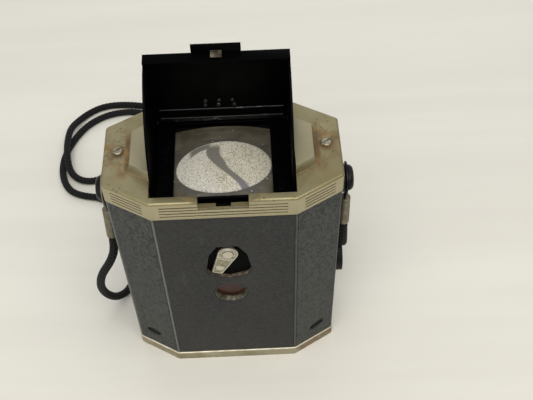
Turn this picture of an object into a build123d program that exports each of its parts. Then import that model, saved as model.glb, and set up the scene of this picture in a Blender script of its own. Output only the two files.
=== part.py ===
from build123d import *
import math
import os

# Box camera with a folding waist-level hood, for 4x4 cm pictures on 127 roll film.
# Millimetres. +Z is up, the lens looks along -Y, the operator stands at +Y.
# The origin is the middle of the base's underside, on the tripod socket's axis.

os.makedirs("parts", exist_ok=True)

# Body: an octagon in plan, four wide faces and four corner faces.
body_width = 96.0
body_depth = 53.0
corner_width = 19.2
corner_depth = 11.1
base_height = 6.0
shell_gap = 0.4
shell_height = 109.2
rim_height = 9.9
shell_inset = 1.0
shell_wall = 1.6
covering_thick = 0.6
covering_margin = 0.6
casting_corner = 2.0
seam = 0.2

shell_bottom = base_height + shell_gap
shell_top = shell_bottom + shell_height
rim_bottom = shell_top + seam
rim_top = rim_bottom + rim_height
corner_slope = math.hypot(corner_width, corner_depth)
corner_normal = (corner_depth / corner_slope, corner_width / corner_slope)
corner_reach = corner_normal[0] * body_width / 2 + corner_normal[1] * (body_depth / 2 - corner_depth)
side_face = body_width / 2 - shell_inset
back_face = body_depth / 2 - shell_inset
back_inside = back_face - shell_wall

# Top casting and its raised plateau.
deck_thick = 3.0
rim_wall = 3.0
plateau_height = 4.0
plateau_half = body_width / 2 - 10.5
plateau_corner = body_depth / 2 - 17.1
plateau_waist = body_width / 2 - corner_width
plateau_waist_depth = body_depth / 2 - 11.9
plateau_slope = 16.0
well_half = 28.9
well_front = 4.3 - body_depth / 2
well_back = body_depth / 2 - 3.5
well_collar = 2.0
notch_half = 10.0
notch_depth = 4.2
groove_count = 4
groove_pitch = 1.75
groove_height = 0.75
groove_depth = 0.55
groove_margin = 3.4
rim_edge = 1.0
screw_x = body_width / 2 - 6.0
screw_y = -1.5
screw_head = 4.3
screw_shank = 2.4
screw_length = 14.0
post_radius = 3.4

# Hood: one lid with two quarter-round cheeks, drawn open.
hinge_y = 6.0 - body_depth / 2
hinge_z = rim_top - 4.2
hood_open = 83.0
hood_length = body_depth - 11.0
hood_half = 28.1
hood_plate = 1.0
hood_lift = 0.3
cheek_radius = hood_length - 1.6
cheek_thick = 0.8
cheek_heel = 2.4
lip_depth = 3.6
tab_half = 9.5
tab_length = 4.8
clip_half = 2.2
clip_thick = 0.6
clip_length = 2.0
pin_radius = 0.8
running = 0.05

# Waist-level finder.
finder_half = 26.0
finder_front = 3.3 - body_depth / 2
finder_back = body_depth / 2 - 5.9
finder_floor = rim_top - 43.2
finder_wall = 1.0
finder_deck = rim_top - 9.0
mirror_middle = 4.0
mirror_foot = -12.0
mirror_width = 48.0
mirror_length = 40.0
mirror_thick = 1.2
finder_lens_half = 20.3
finder_lens_top = rim_top - 4.8
finder_lens_ball = 111.0
finder_lens_far = 7.3 - body_depth / 2
finder_lens_bow = 1.3
finder_lens_back = body_depth / 2 - 7.0
mask_half = 27.0
mask_front = 4.6 - body_depth / 2
mask_back = body_depth / 2 - 6.3
mask_thick = 1.2
mask_rise = 2.6
window_half = 19.8
window_front = 6.1 - body_depth / 2
window_back = body_depth / 2 - 7.4

# Front: viewing lens above, shutter housing and taking lens below.
plate_half = 25.0
plate_bottom = 33.0
plate_height = rim_top - plate_bottom - 12.7
plate_thick = 1.5
viewing_z = rim_top - 25.7
viewing_radius = 11.0
viewing_bore = 10.0
viewing_thick = 2.5
ring_radius = 13.5
ring_depth = 2.5
axis_z = 60.0
light_bore = 8.0
housing_radius = 23.0
housing_wall = 2.0
housing_depth = 10.5
housing_face = 1.2
bezel_radius = 12.0
bezel_depth = 3.0
taking_radius = 7.4
taking_edge = 1.4
taking_dome = 0.8
stop_radius = 3.0
stop_plate_radius = 17.0
stop_plate_thick = 0.6
disc_offset = 8.5
disc_radius = 12.0
disc_thick = 0.5
disc_gap = 0.5
disc_pin_radius = 1.25
lever_thick = 0.8
lever_x = -8.0
lever_z = 66.0
lever_reach = 22.0
lever_gap = 1.2
lever_pin_radius = 1.0

# Film chamber: light box, carrier, two spools and the winding knob.
light_box_front = 9.0
light_box_gate = 21.0
light_box_wall = 1.0
gate_plane = body_depth / 2 - 6.0
gate_flange = 23.0
carrier_half = 27.2
carrier_thick = 0.8
carrier_front = 5.9 - body_depth / 2
carrier_back = body_depth / 2 - 5.1
carrier_top = rim_top - 22.7
spool_half = 25.8
spool_flange = 9.5
spool_flange_thick = 1.2
spool_core = 4.2
spool_bore = 1.3
supply_y = body_depth / 2 - 14.5
supply_z = rim_top - 33.7
takeup_y = -10.0
takeup_z = 35.0
guide_radius = 1.5
guide_y = body_depth / 2 - 9.0
guide_z = 32.0
pressure_thick = 0.6
knob_radius = 8.75
knob_depth = 5.0
knob_stand = 1.4
knob_flutes = 36
shaft_radius = 2.0
key_length = 3.0
key_thick = 1.2
bush_radius = 4.5

# Back: red frame-number window with its blind and lever.
red_window_radius = 7.25
red_pane_radius = 9.0
pane_thick = 0.7
pane_gap = 0.05
ring_inner = 6.1
lever_pivot_z = 88.8
back_lever_wide = 4.3
back_lever_narrow = 2.35
back_lever_length = 14.5
back_lever_angle = 21.4
back_lever_thick = 0.8
blind_radius = 7.6
blind_thick = 0.5
blind_arm = 5.0
rivet_radius = 1.3

# Base catches, strap studs, clips, ferrules and the neck cord.
catch_along = -1.75
catch_z = 17.3
catch_length = 7.0
catch_width = 2.8
catch_tilt = 13.0
catch_clearance = 0.35
catch_sunk = 1.5
catch_foot = 9.0
stud_z = rim_top - 20.7
stud_collar = 6.0
stud_collar_depth = 3.4
stud_neck = 2.5
stud_head = 5.5
stud_dome = 2.4
clip_eye = 7.0
clip_plate = 0.8
clip_tongue = 11.0
ferrule_radius = 2.5
ferrule_length = 15.0
left_swing = 14.0
cord_straight = 8.0
right_swing = 8.0
cord_radius = 2.0
tripod_bore = 2.6
tripod_depth = 5.6
bush_outer = 6.0


def body_outline(inset):
    """Corners of the body's octagon in plan, moved in by inset on every side."""
    x_far = body_width / 2 - inset
    y_far = body_depth / 2 - inset
    reach = corner_reach - inset
    y_near = (reach - corner_normal[0] * x_far) / corner_normal[1]
    x_near = (reach - corner_normal[1] * y_far) / corner_normal[0]
    quarter = [(x_far, y_near), (x_near, y_far)]
    half = quarter + [(-x, y) for x, y in reversed(quarter)]
    return half + [(-x, -y) for x, y in half]


def wall_plane(normal, distance):
    """Upright plane: local x runs level, local y runs up, local z points outwards."""
    x, y = normal
    return Plane(origin=(x * distance, y * distance, 0), x_dir=(-y, x, 0), z_dir=(x, y, 0))


def finish(piece, name):
    """Label a piece and write its file."""
    piece.part.label = name
    export_step(piece.part, f"parts/{name}.step")


back_wall = wall_plane((0, 1), back_face)
outer = body_outline(shell_inset)
face_half_back = outer[1][0]
face_half_side = outer[0][1]
corner_half = math.dist(outer[0], outer[1]) / 2
corner_distance = corner_reach - shell_inset
corner_mid = (outer[0][0] + outer[1][0]) / 2, (outer[0][1] + outer[1][1]) / 2
corner_shift = -corner_normal[1] * corner_mid[0] + corner_normal[0] * corner_mid[1]

# Each wall face: outward normal, distance, middle along the face, half width.
faces = {
    "back": ((0, 1), back_face, 0, face_half_back),
    "front": ((0, -1), back_face, 0, face_half_back),
    "left": ((1, 0), side_face, 0, face_half_side),
    "right": ((-1, 0), side_face, 0, face_half_side),
}
for corner, (sign_x, sign_y) in {
    "back_left": (1, 1),
    "back_right": (-1, 1),
    "front_left": (1, -1),
    "front_right": (-1, -1),
}.items():
    normal = (sign_x * corner_normal[0], sign_y * corner_normal[1])
    faces[corner] = (normal, corner_distance, sign_x * sign_y * corner_shift, corner_half)

# Fan-shaped opening round the lever, drawn on the back wall, local x to the operator's right.
fan_side = [(4.4, 95.0), (8.0, 89.0), (9.9, 77.0), (7.8, 73.9)]
fan = fan_side + [(0, 71.2)] + [(-x, z) for x, z in reversed(fan_side)]
catch_middle = {"back_left": corner_shift + catch_along, "back_right": -corner_shift - catch_along}


def wall_holes(face, grow):
    """Add one wall face's openings to the open sketch, grown by a margin."""
    if face == "back":
        with Locations((0, axis_z)):
            Circle(red_window_radius + grow)
        Polygon(*fan, align=None)
    if face == "front":
        with Locations((0, axis_z)):
            Circle(light_bore)
        with Locations((0, viewing_z)):
            Circle(viewing_radius + seam)
    if face in ("left", "right"):
        with Locations((0, stud_z)):
            Circle(stud_neck - 0.5 if grow == 0 else stud_collar + grow)
    if face == "right":
        with Locations((-takeup_y, takeup_z)):
            Circle(bush_radius - 1.5 if grow == 0 else bush_radius + grow)
    if face in catch_middle:
        tilt = -catch_tilt if face == "back_left" else catch_tilt
        with Locations((catch_middle[face], catch_z)):
            SlotOverall(catch_length, catch_width, rotation=tilt)


# ---------------------------------------------------------------- body shell
with BuildPart() as body_shell:
    with BuildSketch(Plane.XY.offset(shell_bottom)):
        Polygon(*body_outline(shell_inset), align=None)
        Polygon(*body_outline(shell_inset + shell_wall), align=None, mode=Mode.SUBTRACT)
    extrude(amount=shell_height)
    with BuildSketch(Plane.XY.offset(shell_top)):
        with Locations((screw_x, screw_y), (-screw_x, screw_y)):
            Circle(post_radius)
            Rectangle(2 * (side_face - shell_wall - screw_x) + seam, 2 * post_radius - 2)
    extrude(amount=-screw_length)
    with BuildSketch(Plane.XY.offset(shell_top)):
        with Locations((screw_x, screw_y), (-screw_x, screw_y)):
            Circle(screw_shank / 2 + running)
    extrude(amount=-screw_length, mode=Mode.SUBTRACT)
    for face_name, (normal, distance, middle, half) in faces.items():
        if face_name.startswith("front_"):
            continue
        with BuildSketch(wall_plane(normal, distance)) as holes:
            wall_holes(face_name, 0)
        extrude(amount=-shell_wall, mode=Mode.SUBTRACT)
finish(body_shell, "body_shell")

# ---------------------------------------------------------------- leatherette, one sheet on each face
for face_name, (normal, distance, middle, half) in faces.items():
    with BuildPart() as covering:
        with BuildSketch(wall_plane(normal, distance)):
            with Locations((middle, (shell_bottom + shell_top) / 2)):
                Rectangle(2 * (half - covering_margin), shell_height - 2 * seam)
        extrude(amount=covering_thick)
        if face_name == "front":
            with BuildSketch(wall_plane(normal, distance)):
                with Locations((0, plate_bottom + plate_height / 2)):
                    Rectangle(2 * (plate_half + seam), plate_height + 2 * seam)
            extrude(amount=covering_thick, mode=Mode.SUBTRACT)
        elif not face_name.startswith("front_"):
            with BuildSketch(wall_plane(normal, distance)):
                wall_holes(face_name, seam)
            extrude(amount=covering_thick, mode=Mode.SUBTRACT)
    finish(covering, f"covering_{face_name}")

# ---------------------------------------------------------------- top casting
with BuildPart() as top_casting:
    with BuildSketch(Plane.XY.offset(rim_bottom)):
        Polygon(*body_outline(0), align=None)
    extrude(amount=rim_height)
    fillet(top_casting.edges().filter_by(Axis.Z), casting_corner)
    fillet(top_casting.faces().sort_by(Axis.Z)[-1].edges(), rim_edge)
    with BuildSketch(Plane.XY.offset(rim_top)):
        Polygon(
            (plateau_half, -plateau_corner),
            (plateau_half, plateau_corner),
            (plateau_waist, plateau_waist_depth),
            (-plateau_waist, plateau_waist_depth),
            (-plateau_half, plateau_corner),
            (-plateau_half, -plateau_corner),
            (-plateau_waist, -plateau_waist_depth),
            (plateau_waist, -plateau_waist_depth),
            align=None,
        )
    extrude(amount=plateau_height, taper=plateau_slope)
    with BuildSketch(Plane.XY.offset(rim_bottom)):
        Polygon(*body_outline(rim_wall), align=None)
    extrude(amount=rim_height - deck_thick, mode=Mode.SUBTRACT)
    with BuildSketch(Plane.XY.offset(rim_bottom)):
        with Locations((0, (well_front + well_back) / 2)):
            Rectangle(2 * (well_half + well_collar), well_back - well_front)
        with Locations((screw_x, screw_y), (-screw_x, screw_y)):
            Circle(post_radius)
    extrude(amount=rim_height)
    with BuildSketch(Plane.XY.offset(rim_bottom)):
        with Locations((0, (well_front + well_back) / 2)):
            Rectangle(2 * well_half, well_back - well_front)
        with Locations((screw_x, screw_y), (-screw_x, screw_y)):
            Circle(screw_shank / 2 + running)
    extrude(amount=rim_height + plateau_height, mode=Mode.SUBTRACT)
    with BuildSketch(Plane.XY.offset(rim_top - notch_depth)):
        with Locations((0, well_back + rim_wall)):
            Rectangle(2 * notch_half, 2 * rim_wall)
    extrude(amount=notch_depth, mode=Mode.SUBTRACT)
    with BuildSketch(Plane.XY.offset(rim_top - notch_depth)):
        with Locations((0, well_back + clip_length / 2)):
            Rectangle(2 * clip_half + 1.6, clip_length + 0.4)
    extrude(amount=-lip_depth, mode=Mode.SUBTRACT)
    with BuildSketch(Plane.YZ.offset(-well_half - 1.6)):
        with Locations((hinge_y, hinge_z)):
            Circle(pin_radius + running)
    extrude(amount=2 * (well_half + 1.6), mode=Mode.SUBTRACT)
    for face_name, (normal, distance, middle, half) in faces.items():
        with BuildSketch(wall_plane(normal, distance + shell_inset)):
            with Locations((middle, rim_bottom + rim_height / 2 - 0.5)):
                with GridLocations(1, groove_pitch, 1, groove_count):
                    Rectangle(2 * (half - groove_margin), groove_height)
        extrude(amount=-groove_depth, mode=Mode.SUBTRACT)
finish(top_casting, "top_casting")

# ---------------------------------------------------------------- base casting
with BuildPart() as base_casting:
    with BuildSketch(Plane.XY):
        Polygon(*body_outline(0), align=None)
    extrude(amount=base_height)
    fillet(base_casting.edges().filter_by(Axis.Z), casting_corner)
    with BuildSketch(Plane.XY.offset(2.0)):
        Polygon(*body_outline(5.0), align=None)
    extrude(amount=base_height, mode=Mode.SUBTRACT)
    with BuildSketch(Plane.XY.offset(base_height)):
        Polygon(*body_outline(shell_inset + shell_wall + seam), align=None)
        Polygon(*body_outline(5.0), align=None, mode=Mode.SUBTRACT)
    extrude(amount=5.0)
    with BuildSketch(Plane.XY):
        Circle(bush_outer + 2.0)
    extrude(amount=base_height)
    with BuildSketch(Plane.XY):
        Circle(bush_outer)
    extrude(amount=base_height, mode=Mode.SUBTRACT)
finish(base_casting, "base_casting")

with BuildPart() as tripod_bush:
    with BuildSketch(Plane.XY):
        Circle(bush_outer)
    extrude(amount=base_height)
    with BuildSketch(Plane.XY):
        Circle(tripod_bore)
    extrude(amount=tripod_depth, mode=Mode.SUBTRACT)
finish(tripod_bush, "tripod_bush")

# ---------------------------------------------------------------- top screws
with BuildPart() as top_screws:
    with BuildSketch(Plane.XY.offset(rim_top - screw_length)):
        with Locations((screw_x, screw_y), (-screw_x, screw_y)):
            Circle(screw_shank / 2)
    extrude(amount=screw_length)
    with BuildSketch(Plane.XY.offset(rim_top)):
        with Locations((screw_x, screw_y), (-screw_x, screw_y)):
            Circle(screw_head / 2)
    extrude(amount=1.2)
    chamfer(top_screws.edges().filter_by(GeomType.CIRCLE).group_by(Axis.Z)[-1], 0.4)
    with BuildSketch(Plane.XY.offset(rim_top + 1.2)):
        with Locations((screw_x, screw_y), (-screw_x, screw_y)):
            Rectangle(screw_head + 1, 0.7, rotation=35)
    extrude(amount=-0.6, mode=Mode.SUBTRACT)
finish(top_screws, "top_screws")

# ---------------------------------------------------------------- hood, drawn in the plane of its lid
angle = math.radians(hood_open)
lid_plane = Plane(origin=(0, hinge_y, hinge_z), x_dir=(1, 0, 0), z_dir=(0, -math.sin(angle), math.cos(angle)))
cheek_plane = Plane(origin=(0, hinge_y, hinge_z), x_dir=lid_plane.y_dir, z_dir=(1, 0, 0))
with BuildPart() as hood_lid:
    with BuildSketch(lid_plane.offset(hood_lift)):
        with Locations((0, hood_length / 2)):
            Rectangle(2 * hood_half, hood_length)
        with Locations((0, hood_length + tab_length / 2)):
            Rectangle(2 * tab_half, tab_length)
    extrude(amount=hood_plate)
    with BuildSketch(lid_plane.offset(hood_lift)):
        with Locations((0, hood_length - hood_plate / 2)):
            Rectangle(2 * hood_half, hood_plate)
    extrude(amount=-lip_depth)
    for side in (-1, 1):
        with BuildSketch(cheek_plane.offset(side * hood_half - (cheek_thick if side > 0 else 0))):
            with BuildLine():
                l1 = Line((-cheek_heel, hood_lift), (cheek_radius, hood_lift))
                l2 = RadiusArc(l1 @ 1, (0, -cheek_radius), cheek_radius)
                l3 = Line(l2 @ 1, (-cheek_heel, -cheek_radius + 6))
                l4 = Line(l3 @ 1, l1 @ 0)
            make_face()
        extrude(amount=cheek_thick)
    with BuildSketch(cheek_plane.offset(-hood_half)):
        Circle(pin_radius + running)
    extrude(amount=2 * hood_half, mode=Mode.SUBTRACT)
finish(hood_lid, "hood_lid")

with BuildPart() as hood_clip:
    with BuildSketch(lid_plane.offset(hood_lift)):
        with Locations((0, hood_length + seam + clip_length / 2)):
            Rectangle(2 * clip_half, clip_length)
    extrude(amount=-clip_thick)
    with BuildSketch(lid_plane.offset(hood_lift - clip_thick)):
        with Locations((0, hood_length + seam + clip_length / 2)):
            Rectangle(2 * clip_half, clip_thick)
    extrude(amount=-lip_depth + 1.4)
finish(hood_clip, "hood_clip")

with BuildPart() as hood_pins:
    for side in (-1, 1):
        start = side * (hood_half - cheek_thick)
        with BuildSketch(Plane.YZ.offset(start)):
            with Locations((hinge_y, hinge_z)):
                Circle(pin_radius)
        extrude(amount=side * (well_half + 1.6 - abs(start)))
finish(hood_pins, "hood_pins")

# ---------------------------------------------------------------- waist-level finder
wall_lift = finder_wall * math.sqrt(2)
slope_top = finder_floor + finder_back - mirror_foot
with BuildPart() as finder_box:
    with BuildSketch(Plane.YZ.offset(-finder_half)):
        Polygon(
            (finder_front, finder_floor),
            (mirror_foot, finder_floor),
            (finder_back, slope_top),
            (finder_back, finder_deck),
            (finder_front, finder_deck),
            align=None,
        )
    extrude(amount=2 * finder_half)
    with BuildSketch(Plane.YZ.offset(-finder_half + finder_wall)):
        Polygon(
            (finder_front - 1, finder_floor + finder_wall),
            (mirror_foot + finder_wall - wall_lift, finder_floor + finder_wall),
            (finder_back - finder_wall, slope_top - finder_wall + wall_lift),
            (finder_back - finder_wall, finder_deck - finder_wall),
            (finder_front - 1, finder_deck - finder_wall),
            align=None,
        )
    extrude(amount=2 * (finder_half - finder_wall), mode=Mode.SUBTRACT)
    with BuildSketch(Plane.XY.offset(finder_deck)):
        with Locations((0, (finder_lens_far + finder_lens_back) / 2)):
            Rectangle(2 * finder_lens_half - 3, finder_lens_back - finder_lens_far - 4.4)
    extrude(amount=-finder_wall, mode=Mode.SUBTRACT)
finish(finder_box, "finder_box")

mirror_z = mirror_middle - mirror_foot + finder_floor + wall_lift
mirror_plane = Plane(origin=(0, mirror_middle, mirror_z), x_dir=(1, 0, 0), z_dir=(0, -1, 1))
with BuildPart() as finder_mirror:
    with BuildSketch(mirror_plane):
        Rectangle(mirror_width, mirror_length)
    extrude(amount=mirror_thick)
finish(finder_mirror, "finder_mirror")

with BuildPart() as finder_lens:
    with BuildSketch(Plane.XY.offset(finder_deck)):
        with BuildLine():
            m1 = ThreePointArc(
                (finder_lens_half, finder_lens_far + finder_lens_bow),
                (0, finder_lens_far),
                (-finder_lens_half, finder_lens_far + finder_lens_bow),
            )
            m2 = Line(m1 @ 1, (-finder_lens_half, finder_lens_back))
            m3 = Line(m2 @ 1, (finder_lens_half, finder_lens_back))
            m4 = Line(m3 @ 1, m1 @ 0)
        make_face()
    extrude(amount=finder_lens_top - finder_deck)
    with Locations((0, 0, finder_lens_top - finder_lens_ball)):
        Sphere(finder_lens_ball, mode=Mode.INTERSECT)
finish(finder_lens, "finder_lens")

mask_bottom = finder_deck + mask_rise
with BuildPart() as finder_mask:
    with BuildSketch(Plane.XY.offset(mask_bottom)):
        with Locations((0, (mask_front + mask_back) / 2)):
            Rectangle(2 * mask_half, mask_back - mask_front)
        with Locations((0, (window_front + window_back) / 2)):
            Rectangle(2 * window_half, window_back - window_front, mode=Mode.SUBTRACT)
    extrude(amount=mask_thick)
    with BuildSketch(Plane.XY.offset(finder_deck)):
        with Locations((0, (mask_front + mask_back) / 2)):
            Rectangle(2 * finder_half, mask_back - mask_front)
            Rectangle(2 * finder_half - 3, mask_back - mask_front - 1.2, mode=Mode.SUBTRACT)
    extrude(amount=mask_rise)
finish(finder_mask, "finder_mask")

# ---------------------------------------------------------------- front plate and viewing lens
plate_face = back_face + plate_thick
with BuildPart() as front_plate:
    with BuildSketch(Plane.XZ.offset(back_face)):
        with Locations((0, plate_bottom + plate_height / 2)):
            RectangleRounded(2 * plate_half, plate_height, 4)
        with Locations((0, axis_z)):
            Circle(light_bore, mode=Mode.SUBTRACT)
        with Locations((0, viewing_z)):
            Circle(viewing_bore, mode=Mode.SUBTRACT)
    extrude(amount=plate_thick)
    with BuildSketch(Plane.XZ.offset(plate_face)):
        with Locations((0, viewing_z)):
            Circle(viewing_radius + running)
    extrude(amount=-plate_thick / 2, mode=Mode.SUBTRACT)
finish(front_plate, "front_plate")

with BuildPart() as viewing_lens:
    with BuildSketch(Plane.XZ.offset(plate_face - plate_thick / 2)):
        with Locations((0, viewing_z)):
            Circle(viewing_radius)
    extrude(amount=viewing_thick)
    fillet(viewing_lens.edges().sort_by(Axis.Y)[0], 1.2)
finish(viewing_lens, "viewing_lens")

with BuildPart() as viewing_ring:
    with BuildSketch(Plane.XZ.offset(plate_face)):
        with Locations((0, viewing_z)):
            Circle(ring_radius)
            Circle(viewing_radius + running, mode=Mode.SUBTRACT)
    extrude(amount=ring_depth)
    chamfer(viewing_ring.edges().group_by(Axis.Y)[0], 0.5)
finish(viewing_ring, "viewing_ring")

# ---------------------------------------------------------------- shutter housing and taking lens
housing_front = plate_face + housing_depth
lever_back = plate_face + stop_plate_thick + disc_gap + disc_thick + lever_gap
with BuildPart() as shutter_housing:
    with BuildSketch(Plane.XZ.offset(plate_face)):
        with Locations((0, axis_z)):
            Circle(housing_radius)
    extrude(amount=housing_depth)
    fillet(shutter_housing.edges().sort_by(Axis.Y)[0], 1.0)
    with BuildSketch(Plane.XZ.offset(plate_face)):
        with Locations((0, axis_z)):
            Circle(housing_radius - housing_wall)
    extrude(amount=housing_depth - housing_face, mode=Mode.SUBTRACT)
    with BuildSketch(Plane.XZ.offset(plate_face)):
        with Locations((0, axis_z)):
            Circle(taking_radius - 1.2)
    extrude(amount=housing_depth, mode=Mode.SUBTRACT)
    with BuildSketch(Plane.XZ.offset(lever_back - 0.4)):
        with Locations((-housing_radius, lever_z - 3.0)):
            Rectangle(5 * housing_wall, 12.0)
    extrude(amount=lever_thick + 0.8, mode=Mode.SUBTRACT)
finish(shutter_housing, "shutter_housing")

with BuildPart() as lens_bezel:
    with BuildSketch(Plane.XZ.offset(housing_front)):
        with Locations((0, axis_z)):
            Circle(bezel_radius)
            Circle(taking_radius + running, mode=Mode.SUBTRACT)
    extrude(amount=bezel_depth)
    chamfer(lens_bezel.edges().group_by(Axis.Y)[0], 0.8)
finish(lens_bezel, "lens_bezel")

with BuildPart() as taking_lens:
    with BuildSketch(Plane.XZ.offset(housing_front)):
        with Locations((0, axis_z)):
            Circle(taking_radius)
    extrude(amount=taking_edge + taking_dome)
    fillet(taking_lens.edges().sort_by(Axis.Y)[0], taking_dome)
finish(taking_lens, "taking_lens")

stop_face = plate_face + stop_plate_thick
disc_pivot_z = axis_z - disc_offset
disc_back = stop_face + disc_gap
with BuildPart() as stop_plate:
    with BuildSketch(Plane.XZ.offset(plate_face)):
        with Locations((0, axis_z)):
            Circle(stop_plate_radius)
            Circle(stop_radius, mode=Mode.SUBTRACT)
    extrude(amount=stop_plate_thick)
    with BuildSketch(Plane.XZ.offset(stop_face)):
        with Locations((0, disc_pivot_z)):
            Circle(disc_pin_radius)
    extrude(amount=disc_gap + disc_thick + disc_gap)
finish(stop_plate, "stop_plate")

with BuildPart() as shutter_disc:
    with BuildSketch(Plane.XZ.offset(disc_back)):
        with Locations((0, disc_pivot_z)):
            Circle(disc_radius)
            Circle(disc_pin_radius + running, mode=Mode.SUBTRACT)
        with Locations(Pos(0, disc_pivot_z) * Rot(0, 0, 40)):
            with Locations((0, disc_offset)):
                SlotOverall(2.6 * stop_radius, 2.1 * stop_radius, mode=Mode.SUBTRACT)
    extrude(amount=disc_thick)
finish(shutter_disc, "shutter_disc")

with BuildPart() as release_lever:
    with BuildSketch(Plane.XZ.offset(lever_back)):
        with BuildLine():
            Polyline(
                (lever_x, lever_z + 2.4),
                (lever_x - lever_reach + 2, lever_z + 1.4),
                (lever_x - lever_reach + 2, lever_z - 1.4),
                (lever_x, lever_z - 2.4),
                close=True,
            )
        make_face()
        with Locations((lever_x, lever_z)):
            Circle(2.4)
        with Locations((lever_x - lever_reach, lever_z)):
            Circle(2.6)
        with Locations((lever_x, lever_z)):
            Circle(lever_pin_radius + running, mode=Mode.SUBTRACT)
    extrude(amount=lever_thick)
finish(release_lever, "release_lever")

with BuildPart() as release_pin:
    with BuildSketch(Plane.XZ.offset(lever_back - 0.3)):
        with Locations((lever_x, lever_z)):
            Circle(lever_pin_radius)
    extrude(amount=housing_front - housing_face - lever_back + 0.3)
finish(release_pin, "release_pin")

spring_wire = 0.35
spring_turns = 4
spring_start = lever_back + lever_thick + 0.6
with BuildPart() as shutter_spring:
    for turn in range(spring_turns):
        with BuildSketch(Plane.XZ.offset(spring_start + turn * 2 * spring_wire)):
            with Locations((lever_x, lever_z)):
                Circle(lever_pin_radius + 0.2 + 2 * spring_wire)
                Circle(lever_pin_radius + 0.2, mode=Mode.SUBTRACT)
        extrude(amount=2 * spring_wire)
    with BuildSketch(Plane.XZ.offset(spring_start)):
        with Locations((lever_x + 3.4, lever_z + lever_pin_radius + 0.2 + spring_wire)):
            Rectangle(7.0, 2 * spring_wire)
    extrude(amount=2 * spring_wire)
finish(shutter_spring, "shutter_spring")

# ---------------------------------------------------------------- light box and film carrier
with BuildPart() as light_box:
    with BuildSketch(Plane.XZ.offset(back_inside - 0.3)):
        with Locations((0, axis_z)):
            Rectangle(2 * (light_box_front + light_box_wall), 2 * (light_box_front + light_box_wall))
    with BuildSketch(Plane.XZ.offset(-gate_plane)):
        with Locations((0, axis_z)):
            Rectangle(2 * (light_box_gate + light_box_wall), 2 * (light_box_gate + light_box_wall))
    loft()
    with BuildSketch(Plane.XZ.offset(-gate_plane)):
        with Locations((0, axis_z)):
            Rectangle(2 * (carrier_half - carrier_thick), 2 * gate_flange)
    extrude(amount=carrier_thick)
    with BuildSketch(Plane.XZ.offset(back_inside - 0.3)):
        with Locations((0, axis_z)):
            Rectangle(2 * light_box_front, 2 * light_box_front)
    with BuildSketch(Plane.XZ.offset(-gate_plane)):
        with Locations((0, axis_z)):
            Rectangle(2 * light_box_gate, 2 * light_box_gate)
    loft(mode=Mode.SUBTRACT)
finish(light_box, "light_box")

carrier_floor = 2.0
bearing_places = [(supply_y, supply_z), (takeup_y, takeup_z), (guide_y, guide_z)]
with BuildPart() as film_carrier:
    with BuildSketch(Plane.XY.offset(carrier_floor)):
        with Locations((0, (carrier_front + carrier_back) / 2)):
            Rectangle(2 * carrier_half, carrier_back - carrier_front)
        Circle(bush_outer + 2.3, mode=Mode.SUBTRACT)
    extrude(amount=carrier_thick)
    for side in (-1, 1):
        with BuildSketch(Plane.YZ.offset(side * carrier_half)):
            Polygon(
                (carrier_front, carrier_floor),
                (carrier_back, carrier_floor),
                (carrier_back, carrier_top - 4),
                (carrier_back - 4, carrier_top),
                (supply_y - 6, carrier_top),
                (takeup_y + 6, takeup_z + 16),
                (carrier_front, takeup_z + 8),
                align=None,
            )
            with Locations(*bearing_places):
                Circle(guide_radius + running if side > 0 else shaft_radius + running, mode=Mode.SUBTRACT)
        extrude(amount=-side * carrier_thick)
finish(film_carrier, "film_carrier")

for name, (y, z) in {"supply_spool": (supply_y, supply_z), "takeup_spool": (takeup_y, takeup_z)}.items():
    with BuildPart() as spool:
        with BuildSketch(Plane.YZ.offset(-spool_half)):
            with Locations((y, z)):
                Circle(spool_core)
        extrude(amount=2 * spool_half)
        for start, length in ((-spool_half, spool_flange_thick), (spool_half, -spool_flange_thick)):
            with BuildSketch(Plane.YZ.offset(start)):
                with Locations((y, z)):
                    Circle(spool_flange)
            extrude(amount=length)
        with BuildSketch(Plane.YZ.offset(-spool_half)):
            with Locations((y, z)):
                Circle(spool_bore)
        extrude(amount=2 * spool_half, mode=Mode.SUBTRACT)
        with BuildSketch(Plane.YZ.offset(-spool_half)):
            with Locations((y, z)):
                Rectangle(2 * shaft_radius, key_thick + 2 * running)
        extrude(amount=key_length + seam, mode=Mode.SUBTRACT)
    finish(spool, name)

# Each idle end runs on a pin with a head outside the carrier's plate.
pin_places = {
    "supply_pin_left": (1, supply_y, supply_z),
    "supply_pin_right": (-1, supply_y, supply_z),
    "takeup_pin_left": (1, takeup_y, takeup_z),
}
for name, (side, y, z) in pin_places.items():
    seat = guide_radius if side > 0 else shaft_radius
    with BuildPart() as idle_pin:
        with BuildSketch(Plane.YZ.offset(side * carrier_half)):
            with Locations((y, z)):
                Circle(seat)
        extrude(amount=-side * (carrier_thick + seam))
        with BuildSketch(Plane.YZ.offset(side * carrier_half)):
            with Locations((y, z)):
                Circle(spool_bore - running)
        extrude(amount=-side * (carrier_half - spool_half + key_length + 2.5))
    finish(idle_pin, name)

with BuildPart() as guide_bar:
    with BuildSketch(Plane.YZ.offset(-carrier_half)):
        with Locations((guide_y, guide_z)):
            Circle(shaft_radius)
    extrude(amount=carrier_thick)
    with BuildSketch(Plane.YZ.offset(-carrier_half)):
        with Locations((guide_y, guide_z)):
            Circle(guide_radius)
    extrude(amount=2 * carrier_half)
finish(guide_bar, "guide_bar")

pressure_y = gate_plane + carrier_thick / 2
with BuildPart() as pressure_plate:
    with BuildSketch(wall_plane((0, 1), pressure_y)):
        with Locations((0, axis_z)):
            Rectangle(2 * (light_box_gate + 2), 2 * (light_box_gate + 2))
            Circle(red_window_radius + 1, mode=Mode.SUBTRACT)
    extrude(amount=pressure_thick)
finish(pressure_plate, "pressure_plate")

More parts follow.
